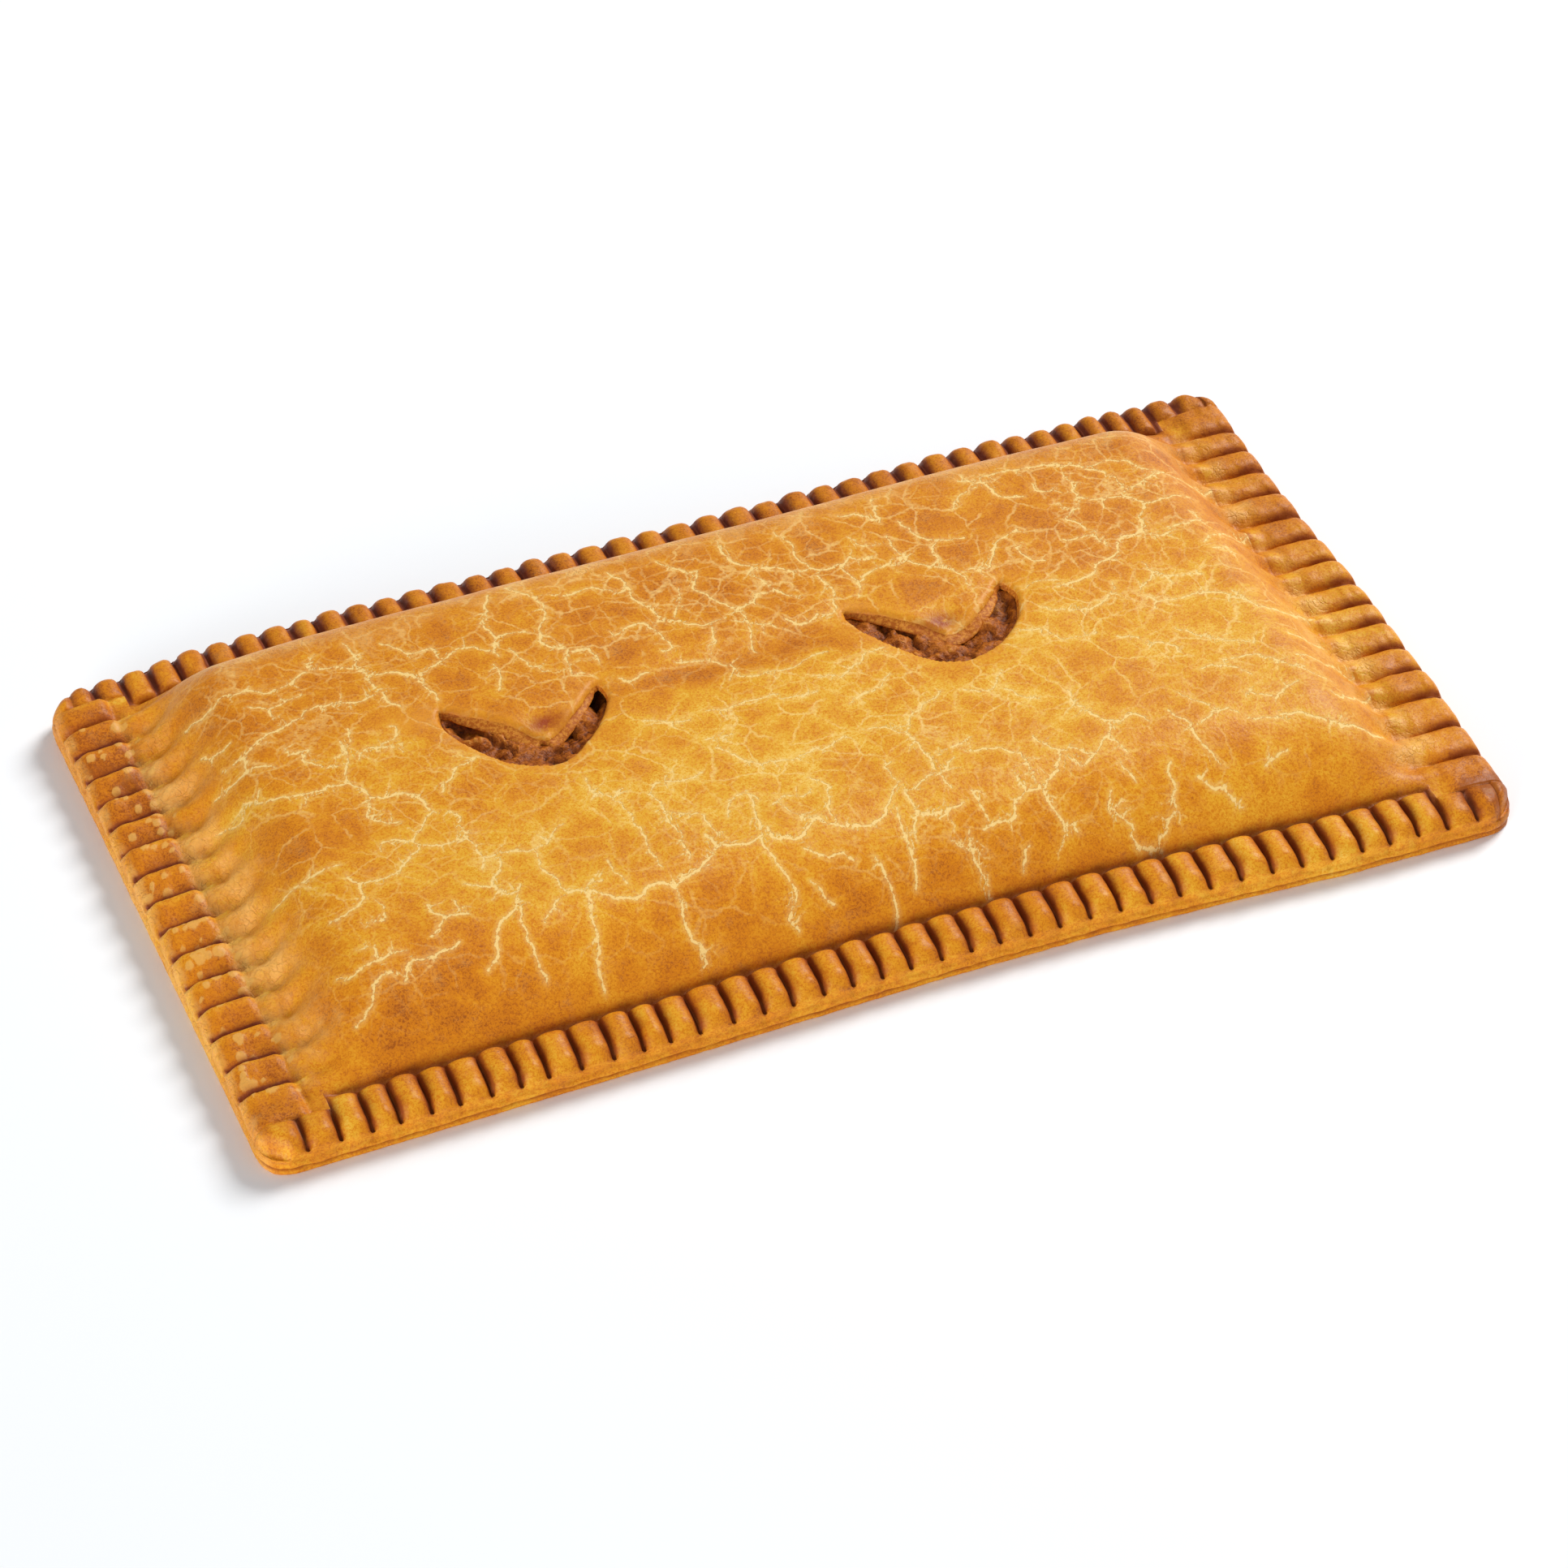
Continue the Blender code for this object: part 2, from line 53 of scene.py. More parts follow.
# %% Sizes of the case and its baked sides
MM = 0.001
LENGTH, WIDTH = 260.0, 142.4
CORNER_RADIUS = 7.0
CENTRE_X, CENTRE_Y = 0.04, 0.50  # the middle of the baked outline, which is put over the origin
SIDES = {  # distance along the side, and distance from the middle of the case
    "front": ((-125, 70.6), (-50, 69.6), (8, 68.5), (40, 68.8), (70, 70.2), (92, 71.7), (120, 72.2)),
    "back": ((-125, 68.6), (-105, 71.1), (-80, 72.8), (25, 72.4), (65, 73.2), (120, 72.1)),
    "left": ((-60, 129.9), (0, 130.1), (60, 130.4)),
    "right": ((-56, 128.7), (-35, 129.9), (-5, 130.5), (22, 129.6), (49, 129.3), (65, 130.0)),
}


def side_shift(side, along):
    """How much further out a side lies than in the straight rectangle, from its table."""
    table = np.array(SIDES[side])
    half_size = WIDTH / 2 if side in ("front", "back") else LENGTH / 2
    return np.interp(along, table[:, 0], table[:, 1]) - half_size


def round_corner(p, q, half_length, half_width, radius):
    """Draws the points near a rectangle's corners in, so that its outline turns on an arc."""
    u = np.clip((np.abs(p) - half_length + radius) / radius, 0, 1)
    v = np.clip((np.abs(q) - half_width + radius) / radius, 0, 1)
    shift_p = radius * u * (1 - np.sqrt(1 - v * v / 2))
    shift_q = radius * v * (1 - np.sqrt(1 - u * u / 2))
    return p - np.sign(p) * shift_p, q - np.sign(q) * shift_q


def baked(p, q):
    """x and y of a point of the plan: each side's shift, fading out towards the opposite side."""
    to_back = np.clip(q / WIDTH + 0.5, 0, 1)
    to_right = np.clip(p / LENGTH + 0.5, 0, 1)
    x = p + to_right * side_shift("right", q) - (1 - to_right) * side_shift("left", q)
    y = q + to_back * side_shift("back", p) - (1 - to_back) * side_shift("front", p)
    return x, y


def case_xy(p, q, inset=0.0):
    """x and y of a point of the round-cornered case. An inset draws the whole outline in."""
    p = p * (1 - inset / (LENGTH / 2))
    q = q * (1 - inset / (WIDTH / 2))
    return baked(*round_corner(p, q, LENGTH / 2, WIDTH / 2, CORNER_RADIUS))


# %% Smooth steps and random relief
NOISE_TABLE = np.random.default_rng(5).random((256, 256))


def smooth(t):
    """3t^2 - 2t^3: from 0 to 1, level at both ends."""
    t = np.clip(t, 0, 1)
    return t * t * (3 - 2 * t)


def rise(value, start, length):
    """From 0 at start to 1 a length further on, level at both ends."""
    return smooth((value - start) / length)


def quarter(t):
    """A quarter of an ellipse: 0 at 0, upright there, and level from 1 on."""
    return np.sqrt(1 - (1 - np.clip(t, 0, 1)) ** 2)


def hill(x, y, x0, y0, width, depth):
    """A round hill of height 1: e to the minus squared distance, measured in widths and depths."""
    return np.exp(-(((x - x0) / width) ** 2) - ((y - y0) / depth) ** 2)


def noise(x, y, size, layer):
    """Random numbers at the crossings of a square net, blended smoothly in between, from -1 to 1."""
    u, v = x / size + 37.3 * layer, y / size + 91.7 * layer
    i, j = np.floor(u).astype(int), np.floor(v).astype(int)
    s, t = smooth(u - i), smooth(v - j)
    near = NOISE_TABLE[i & 255, j & 255] * (1 - s) + NOISE_TABLE[(i + 1) & 255, j & 255] * s
    far = NOISE_TABLE[i & 255, (j + 1) & 255] * (1 - s) + NOISE_TABLE[(i + 1) & 255, (j + 1) & 255] * s
    return 2 * (near * (1 - t) + far * t) - 1


def relief(x, y, size, layer, octaves=3):
    """Noises added up, each of half the size and half the strength of the one before, from about -1 to 1."""
    total = sum(noise(x, y, size / 2**k, layer + k) / 2**k for k in range(octaves))
    return total / (2 - 0.5 ** (octaves - 1))


half_way = np.array([[-LENGTH / 2, 0], [LENGTH / 2, 0], [0, -WIDTH / 2], [0, WIDTH / 2]])
print("ends and sides of the baked outline:", np.round(case_xy(*half_way.T), 1).tolist())

# %% [markdown]
# ## The pinched bars
#
# A crimping tool pressed narrow grooves into the rim, and the dough between them swelled into bars. No two
# grooves are the same distance apart, so each side has its own list. A bar's height is one profile across it
# times one along it. The long sides and the right side have rounded bars like fingertips. On the left side
# they lean: a low front face climbs to a ridge at the back.

# %% Where the grooves are
GROOVES = {
    "front": (
        *(-127.8, -121.4, -114.9, -108.7, -103.1, -97.1, -91.4, -85.1, -79.3, -73.8, -67.2, -60.7, -54.7),
        *(-49.3, -43.2, -36.4, -30.1, -24.1, -17.8, -11.7, -5.7, 0.4, 6.8, 13.0, 19.0, 25.3, 31.6, 37.9),
        *(44.2, 50.7, 56.7, 63.1, 69.7, 76.1, 82.3, 88.7, 95.1, 101.2, 107.2, 113.7, 120.4, 126.3),
    ),
    "back": (
        *(-125.5, -120.3, -114.2, -108.1, -102.2, -96.1, -89.9, -83.9, -77.5, -72.1, -66.0, -60.0, -53.8),
        *(-47.4, -40.5, -34.4, -28.0, -22.0, -15.9, -9.2, -2.7, 3.8, 10.4, 16.7, 23.4, 30.0, 36.5, 42.9),
        *(49.5, 56.0, 62.3, 68.7, 75.0, 81.0, 86.9, 92.6, 98.2, 103.6, 108.8, 113.9, 120.2, 126.4),
    ),
    "left": (-53.9, -45.8, -37.0, -29.4, -21.5, -13.0, -5.1, 3.3, 11.4, 19.5, 27.6, 35.1, 43.0, 50.8, 57.8),
    "right": (-54.4, -45.6, -36.1, -28.0, -20.3, -12.1, -5.6, 1.4, 8.9, 17.0, 24.9, 33.4, 41.1, 48.4, 55.6),
}
WALL_INSET = 0.25
LONG_RIM, SHORT_RIM, CORNER_RIM = 10.6, 15.3, 7.6  # how far the bars reach in from the edge
WALL_TOP, CREST_TOP, CREASE_TOP, GROOVE_FLOOR = 3.9, 8.3, 6.9, 4.6
BAR_END = 3.4  # length of a bar's rounded outer end
BAR_INNER_END = 2.9
LONG_CLIMB, SHORT_CLIMB = 5, 2  # powers: the higher, the later a groove's floor climbs to the crease
HEIGHT_DRIFT = 0.35
END_P, END_Q = LENGTH / 2 - WALL_INSET, WIDTH / 2 - CORNER_RIM
CREASE_P, CREASE_Q = LENGTH / 2 - SHORT_RIM, WIDTH / 2 - LONG_RIM  # the dome begins at this rectangle
PINCHES, BAR_RISES = {}, {}
bar_random = np.random.default_rng(11)
for side, end in (("front", END_P), ("back", END_P), ("left", END_Q), ("right", END_Q)):
    PINCHES[side] = np.array((-end, *GROOVES[side], end))
    BAR_RISES[side] = bar_random.uniform(-HEIGHT_DRIFT, HEIGHT_DRIFT, len(PINCHES[side]))
print("bars:", {side: len(lines) - 1 for side, lines in PINCHES.items()})

# %% One bar's section, and its profile from the edge to the dome
LEAN_FOOT, LEAN_BACK = 2.2, 1.5  # the leaning bars' rounded foot and back
PLEAT_TOP, PLEAT_FLOOR = 7.6, 6.5  # heights of the soft pleats where the short sides' bars run into the dome
PLEAT_BLEND = 5.5
SHORT_BAR, SHORT_BAR_END = 11.4, 2.2  # length of a short side's bar, and of its round inner end
END_DROPS = {"left": 1.6, "right": 0.3}  # how far a bar drops at its inner end
TOOLS = {  # half the floor's width and the rounding, each at the edge and inside; depth; stop at the edge
    "front": (0.3, 0.2, 2.8, 2.7, 2.5, 0.6),
    "back": (0.60, 0.50, 2.0, 2.0, 1.7, 0.4),
    "left": (0.34, 0.14, 1.6, 1.3, 3.6, 1.0),
    "right": (0.35, 0.12, 2.6, 2.4, 2.1, 1.1),
}
TOOL_REACH = 7.0  # over this length inward a groove changes from its outer to its inner shape
CLOSING = 0.6  # how nearly the groove closes at the edge
FACE_FOOT, FACE_TOP = 0.4, 0.85  # a leaning face starts at this share of its height and is full at this place
CREST_BULGE = 0.12  # how much a rounded bar's middle rises over its flanks
SHALLOWEST, SHALLOW_START = 0.95, 1.5  # how nearly a side's last grooves vanish, and where that begins


def bar_place(side, along):
    """Which bar a point is on, how far across it from 0 to 1, and the bar's width."""
    lines = PINCHES[side]
    bar = np.clip(np.searchsorted(lines, along, side="right") - 1, 0, len(lines) - 2)
    width = lines[bar + 1] - lines[bar]
    return bar, np.clip((along - lines[bar]) / width, 0, 1), width


def shallow_end(side, along):
    """Rises over the last few millimetres of a side, where the tool hardly touched the round corner."""
    return SHALLOWEST * (1 - rise(PINCHES[side][-1] - np.abs(along), SHALLOW_START, CORNER_RADIUS))


def bar_section(side, along, inward):
    """0 in a groove and 1 on a bar. Rounded bars are a quarter ellipse from either groove's floor. Leaning
    ones have a round foot, a climbing face and a round back. At the edge the groove closes."""
    floor_edge, floor_in, round_edge, round_in, _, stop = TOOLS[side]
    bar, t, width = bar_place(side, along)
    inner = smooth(inward / TOOL_REACH)
    floor = floor_edge + (floor_in - floor_edge) * inner
    rounding = round_edge + (round_in - round_edge) * inner
    if side == "left":
        foot, back = quarter((t * width - floor) / LEAN_FOOT), quarter(((1 - t) * width - floor) / LEAN_BACK)
        section = foot * back * (FACE_FOOT + (1 - FACE_FOOT) * smooth(t / FACE_TOP))
    else:
        edge = np.minimum(t, 1 - t) * width
        section = quarter((edge - floor) / rounding) * (1 - CREST_BULGE * (1 - np.sin(np.pi * t)))
    closed = CLOSING * (1 - rise(inward, 0.5 * stop, stop))
    return section + (1 - section) * np.maximum(closed, shallow_end(side, along))


def pleat_height(side, along):
    """Height of the crease on a short side: low after a groove, high after a bar, as a cosine."""
    _, t, _ = bar_place(side, along)
    fade = smooth((CREASE_Q - np.abs(along)) / 5)
    wave = PLEAT_FLOOR + (PLEAT_TOP - PLEAT_FLOOR) * (0.5 - 0.5 * np.cos(2 * np.pi * t))
    return CREASE_TOP + fade * (wave - CREASE_TOP)


def crest_height(side, along, inward):
    """Height of a bar's crest: a quarter ellipse from the wall's top at the edge, then level."""
    bar, _, _ = bar_place(side, along)
    top = CREST_TOP + BAR_RISES[side][bar]
    return top, WALL_TOP + (top - WALL_TOP) * quarter(inward / BAR_END)


def groove_height(side, inward, crest):
    """Height of a groove's floor: as deep as the tool pressed, and never below the wall's top."""
    floor = WALL_TOP + (GROOVE_FLOOR - WALL_TOP) * np.clip(inward / BAR_END, 0, 1)
    return np.maximum(floor, crest - TOOLS[side][4])


def long_bar_height(side, along, inward, length, from_outline=None):
    """A bar of the long sides or corners: a round outer end, a level crest, a round inner end at the crease.
    The groove climbs to the crease. In a corner the outer end is round towards both sides."""
    top, crest = crest_height(side, along, inward if from_outline is None else from_outline)
    groove = groove_height(side, inward, crest)
    crest = crest - (top - CREASE_TOP) * (1 - quarter((length - inward) / BAR_INNER_END))
    groove = groove + (CREASE_TOP - groove) * np.clip(inward / length, 0, 1) ** LONG_CLIMB
    return groove + (crest - groove) * bar_section(side, along, inward)


def short_bar_height(side, along, inward):
    """A bar of the short sides: as a long one, but its inner end runs softly into the dome's pleats."""
    top, crest = crest_height(side, along, inward)
    groove = groove_height(side, inward, crest)
    crest = crest - END_DROPS[side] * (1 - quarter((SHORT_BAR - inward) / SHORT_BAR_END))
    groove = groove + (PLEAT_FLOOR - groove) * np.clip(inward / SHORT_RIM, 0, 1) ** SHORT_CLIMB
    height = groove + (crest - groove) * bar_section(side, along, inward)
    soft = rise(inward, SHORT_RIM - PLEAT_BLEND, PLEAT_BLEND)
    return height * (1 - soft) + pleat_height(side, along) * soft


def pick(condition, first, second):
    return np.where(condition, first, second)


def rim_height(p, q):
    """Height of the pinched rim, from the wall's top to the crease, without its fine relief."""
    from_short, from_long = LENGTH / 2 - np.abs(p), WIDTH / 2 - np.abs(q)
    to_arc = np.hypot(*(np.clip(CORNER_RADIUS - distance, 0, None) for distance in (from_short, from_long)))
    from_outline = np.minimum(from_long, np.maximum(CORNER_RADIUS - to_arc, 0))
    corner = pick(q < 0, long_bar_height("front", p, from_long, CORNER_RIM, from_outline),
                  long_bar_height("back", p, from_long, CORNER_RIM, from_outline))
    long_bar = pick(q < 0, long_bar_height("front", p, from_long, LONG_RIM),
                    long_bar_height("back", p, from_long, LONG_RIM))
    short_bar = pick(p < 0, short_bar_height("left", q, from_short), short_bar_height("right", q, from_short))
    in_end = from_short < SHORT_RIM
    height = pick(in_end, short_bar, long_bar)
    return pick(in_end & (from_long < CORNER_RIM), corner, height)


# %% [markdown]
# ## The dome
#
# Over the filling the lid rises as a flat pillow: steep shoulders, an almost level top, a shallow fold
# between the vents. A product of three shoulder curves gives the pillow. The vents sag a little, their lips
# are round, and the tongue between a vent's arms dips into the filling.

# %% The dome's height
DOME_RISE, CROWN_RISE = 12.4, 1.8
FRONT_SHOULDER, BACK_SHOULDER, SIDE_SHOULDER = 23.0, 15.0, 16.0
SIDE_EASE = 2.6
SHOULDER_POWER = 2.2
VALLEY_DEPTH, VALLEY_Q, VALLEY_WIDTH, VALLEY_LENGTH = 0.9, 11.5, 5.0, 20.0
TONGUES = ((-45.4, 6.0), (40.6, 4.6))
TONGUE_SINK, TONGUE_SPREAD = 1.6, 4.4
PLEAT_REACH = 6.0


def shoulder(inward, width):
    """The dome's rise over its shoulder: 1 - (1 - t)^2.2, from 0 at the crease to 1."""
    return 1 - (1 - np.clip(inward / width, 0, 1)) ** SHOULDER_POWER


def eased(inward):
    """d^2 / (d + ease): a distance that starts out slowly, so that a shoulder begins without a kink."""
    inward = np.clip(inward, 0, None)
    return inward**2 / (inward + SIDE_EASE)


def dome_height(p, q):
    """The lid over the filling, with the short sides' pleats dying out on its shoulders."""
    pillow = (
        shoulder(eased(CREASE_P - np.abs(p)), SIDE_SHOULDER)
        * shoulder(CREASE_Q + q, FRONT_SHOULDER)
        * shoulder(CREASE_Q - q, BACK_SHOULDER)
    )
    crown = (1 - (2 * p / LENGTH) ** 2) * (1 - (2 * q / WIDTH) ** 2)
    pleat = pick(p < 0, pleat_height("left", q), pleat_height("right", q)) - CREASE_TOP
    inward = np.clip(CREASE_P - np.abs(p), 0, None)
    height = CREASE_TOP + pillow * (DOME_RISE + CROWN_RISE * crown)
    height = height + pleat * np.exp(-((inward / PLEAT_REACH) ** 2))
    valley = np.exp(-(((q - VALLEY_Q) / VALLEY_WIDTH) ** 2) - (p / VALLEY_LENGTH) ** 4)
    tongues = sum(hill(p, q, *middle, TONGUE_SPREAD, TONGUE_SPREAD) for middle in TONGUES)
    return height - VALLEY_DEPTH * valley - TONGUE_SINK * tongues


# %% The whole upper surface with its relief
CREASE_NOTCH, NOTCH_WIDTH = 1.1, 0.75
GATHER_LOW, GATHER_HIGH, GATHER_REACH = 0.6, 1.9, (4.4, 3.2)
RIGHT_GATHERS = 0.6  # the right side's, as a share of the left side's
SLIT_DEPTH, SLIT_WIDTH, SLIT_PLACE, SLIT_LENGTH = 0.15, 0.8, 2.6, 1.6  # where a groove is deepest
DOME_RELIEF = ((0.32, 34, 1, 2), (0.16, 11, 4, 2))  # strength, size, layer and octaves of each noise
RIM_RELIEF = ((0.3, 4.2, 7, 3), (0.1, 1.3, 151, 2))
SKIN_RELIEF = ((0.07, 3.2, 11, 3),)
DOME_RELIEF_REACH, RIM_RELIEF_REACH = 14, 3
CREASE_FADE = 3


def reliefs(p, q, table):
    """Sum of the noises of a table."""
    return sum(strength * relief(p, q, *noise_kind) for strength, *noise_kind in table)


def upper_relief(p, q):
    """Unevenness of the dough: broad on the dome, lumpy on the rim, and small everywhere."""
    from_crease = np.minimum(CREASE_P - np.abs(p), CREASE_Q - np.abs(q))
    broad = smooth(from_crease / DOME_RELIEF_REACH) * reliefs(p, q, DOME_RELIEF)
    lumpy = smooth(-from_crease / RIM_RELIEF_REACH) * reliefs(p, q, RIM_RELIEF)
    return broad + lumpy + reliefs(p, q, SKIN_RELIEF)


def crease_notch(p, q):
    """A thin groove along the long sides' creases: minus e to the squared distance in notch widths."""
    along = smooth((CREASE_P - np.abs(p)) / CREASE_FADE)
    return -CREASE_NOTCH * along * np.exp(-(((np.abs(q) - CREASE_Q) / NOTCH_WIDTH) ** 2))


def of_side(p, q, value):
    """Value of the side a point belongs to: a function of the side's name and the place along and inward."""
    from_short, from_long = LENGTH / 2 - np.abs(p), WIDTH / 2 - np.abs(q)
    on_short = (from_short < SHORT_RIM) & (from_long >= CORNER_RIM)
    long_value = pick(q < 0, value("front", p, from_long), value("back", p, from_long))
    short_value = pick(p < 0, value("left", q, from_short), value("right", q, from_short))
    return pick(on_short, short_value, long_value)


def groove_distance(side, along, inward):
    """Distance to the nearest groove of a side."""
    _, t, width = bar_place(side, along)
    return np.minimum(t, 1 - t) * width


def tool_slits(p, q):
    """The tool's tip went deepest near the edge: a round dip in each groove there."""
    inward = of_side(p, q, lambda side, along, inward: inward)
    away = of_side(p, q, groove_distance)
    return -SLIT_DEPTH * np.exp(-((away / SLIT_WIDTH) ** 2) - ((inward - SLIT_PLACE) / SLIT_LENGTH) ** 2)


def gathers(p, q):
    """Gathered dough fills the short sides' creases: a soft ridge along each, higher behind every bar."""
    _, left_t, _ = bar_place("left", q)
    _, right_t, _ = bar_place("right", q)
    wave = pick(p < 0, 0.5 - 0.5 * np.cos(2 * np.pi * left_t), 0.5 - 0.5 * np.cos(2 * np.pi * right_t))
    from_crease = (np.abs(p) - CREASE_P) / pick(np.abs(p) < CREASE_P, *GATHER_REACH)
    fade = smooth((CREASE_Q - np.abs(q)) / 6) * pick(p < 0, 1, RIGHT_GATHERS)
    return fade * (GATHER_LOW + (GATHER_HIGH - GATHER_LOW) * wave) * np.exp(-(from_crease**2))


def upper_height(p, q):
    """Height of any point of the upper surface: the dome inside the creases, and the rim outside."""
    inside = (np.abs(p) < CREASE_P) & (np.abs(q) < CREASE_Q)
    height = pick(inside, dome_height(p, q), rim_height(p, q) + tool_slits(p, q))
    return height + crease_notch(p, q) + gathers(p, q) + upper_relief(p, q)


print("height of the crown:", round(float(upper_height(np.array(0.0), np.array(-10.0))), 2), "mm")

# %% [markdown]
# ## From arrays to meshes
#
# Every new surface is computed as whole arrays: points in millimetres, faces as rows of point numbers. One
# helper turns them into a piece in metres, with the named values that the crust's finish will read.

# %% A piece from arrays
def add_piece(name, points, faces, values):
    """Object from points (mm) and a list of face arrays, one face a row. values gives a vector per point."""
    corners = np.concatenate([rows.ravel() for rows in faces])
    sizes = np.concatenate([np.full(len(rows), rows.shape[1]) for rows in faces])
    mesh = bpy.data.meshes.new(name)
    mesh.vertices.add(len(points))
    mesh.vertices.foreach_set("co", (points * MM).astype(np.float32).ravel())
    mesh.loops.add(len(corners))
    mesh.loops.foreach_set("vertex_index", corners.astype(np.int32))
    mesh.polygons.add(len(sizes))
    mesh.polygons.foreach_set("loop_start", (np.cumsum(sizes) - sizes).astype(np.int32))
    mesh.update(calc_edges=True)
    for key, vectors in values.items():
        layer = mesh.attributes.new(key, "FLOAT_VECTOR", "POINT")
        layer.data.foreach_set("vector", vectors.astype(np.float32).ravel())
    mesh.polygons.foreach_set("use_smooth", np.ones(len(sizes), bool))
    changed = mesh.validate()
    piece = bpy.data.objects.new(name, mesh)
    bpy.context.scene.collection.objects.link(piece)
    print(f"{name}: {len(points)} points, {int((sizes - 2).sum())} triangles, mended: {changed}")
    return piece


def grid_faces(numbers):
    """Quads between neighbours of a grid of point numbers, facing up where the grid runs along x, then y."""
    corners = (numbers[:-1, :-1], numbers[1:, :-1], numbers[1:, 1:], numbers[:-1, 1:])
    return np.stack(corners, -1).reshape(-1, 4)


def band(lower, upper, closed=True):
    """Quads between two rows of point numbers, facing outwards where they run counter-clockwise."""
    if closed:
        lower, upper = np.append(lower, lower[0]), np.append(upper, upper[0])
    return np.stack([lower[:-1], lower[1:], upper[1:], upper[:-1]], -1)


def round_the_edge(count_p, count_q):
    """Grid places round a grid's edge, counter-clockwise from the front left."""
    i, j = np.arange(count_p), np.arange(count_q)
    ring_i = np.concatenate([i[:-1], np.full(count_q - 1, count_p - 1), i[:0:-1], np.zeros(count_q - 1, int)])
    ring_j = np.concatenate([np.zeros(count_p - 1, int), j[:-1], np.full(count_p - 1, count_q - 1), j[:0:-1]])
    return ring_i, ring_j


# %% [markdown]
# ## The vents
#
# Each vent is a V-shaped slit that opened into a ribbon while baking. Its middle line is a smooth curve
# through a few stations, each with half the ribbon's width, and the outline is a little ragged, as torn
# dough is.

# %% Outlines of the vents
VENTS = {  # rows: x, y and half the ribbon's width
    "left": (
        *((-62.6, 18.4, 1.5), (-60.6, 14.4, 3.4), (-55.8, 8.4, 4.8), (-50.9, 2.9, 4.9), (-46.2, 1.1, 4.4)),
        *((-41.6, 3.3, 3.6), (-37.0, 7.2, 3.0), (-33.0, 12.0, 2.2), (-31.8, 14.8, 1.1)),
    ),
    "right": (
        *((22.6, 16.4, 1.3), (26.0, 11.9, 3.3), (31.4, 5.8, 4.5), (35.8, 1.1, 4.9), (40.2, -0.1, 5.1)),
        *((45.4, 1.5, 4.6), (50.5, 5.4, 4.0), (53.8, 10.2, 2.7), (54.6, 13.4, 1.3)),
    ),
}
OUTLINE_STEPS = 10
RAGGEDNESS = 0.28


def through_stations(stations):
    """A curve through the stations by cubic segments, as in a Catmull-Rom spline."""
    padded = np.concatenate([2 * stations[:1] - stations[1:2], stations, 2 * stations[-1:] - stations[-2:-1]])
    before, start, end, after = (padded[k : len(padded) - 3 + k, None] for k in range(4))
    t = (np.arange(OUTLINE_STEPS) / OUTLINE_STEPS)[None, :, None]
    bend = 2 * before - 5 * start + 4 * end - after
    twist = 3 * (start - end) + after - before
    curve = start + 0.5 * t * ((end - before) + t * (bend + t * twist))
    return np.concatenate([curve.reshape(-1, stations.shape[1]), stations[-1:]])


def vent_outline(rows):
    """The ribbon's near side, its end, its far side and its start, as one closed line, counter-clockwise."""
    curve = through_stations(np.array(rows))
    along = np.gradient(curve[:, :2], axis=0)
    along = along / np.linalg.norm(along, axis=1, keepdims=True)
    across = np.stack([-along[:, 1], along[:, 0]], axis=1)
    ragged = RAGGEDNESS * relief(curve[:, 0], curve[:, 1], 2.6, 31)
    far_side = curve[:, :2] + across * (curve[:, 2] + ragged)[:, None]
    ragged = RAGGEDNESS * relief(curve[:, 0], curve[:, 1], 3.1, 35)
    near_side = curve[:, :2] - across * (curve[:, 2] + ragged)[:, None]
    end_tip = curve[-1:, :2] + along[-1:] * curve[-1:, 2:]
    start_tip = curve[:1, :2] - along[:1] * curve[:1, 2:]
    return np.concatenate([near_side, end_tip, far_side[::-1], start_tip])


def outline_gap(x, y, outline):
    """Distance to a closed outline, negative inside it, the nearest point on it and its outward direction."""
    ends = np.roll(outline, -1, axis=0)
    (start_x, start_y), (step_x, step_y) = outline.T, (ends - outline).T
    squared = step_x**2 + step_y**2
    along = np.clip(((x[:, None] - start_x) * step_x + (y[:, None] - start_y) * step_y) / squared, 0, 1)
    near_x, near_y = start_x + along * step_x, start_y + along * step_y
    distance = np.hypot(x[:, None] - near_x, y[:, None] - near_y)
    crossed = (start_y > y[:, None]) != (start_y + step_y > y[:, None])
    level = np.where(step_y == 0, 1e-9, step_y)
    crossed &= x[:, None] < start_x + (y[:, None] - start_y) * step_x / level
    inside = crossed.sum(axis=1) % 2 == 1
    best = distance.argmin(axis=1)
    rows = np.arange(len(x))
    size = np.sqrt(squared)
    outward = np.stack([step_y / size, -step_x / size], -1)[best]
    gap = np.where(inside, -1, 1) * distance[rows, best]
    return gap, near_x[rows, best], near_y[rows, best], outward


OUTLINES = {side: vent_outline(rows) for side, rows in VENTS.items()}
print("vent outlines:", {side: len(outline) for side, outline in OUTLINES.items()})

# %% [markdown]
# ## The cracks in the glaze
#
# The glaze split while the lid rose. The large cracks are drawn here one by one, as lines across the lid, and
# the finish adds the fine ones in between. Each point of the lid learns how far the nearest crack is and in
# which direction. A direction blends between points without blurring the line itself, and a plain distance
# doesn't.

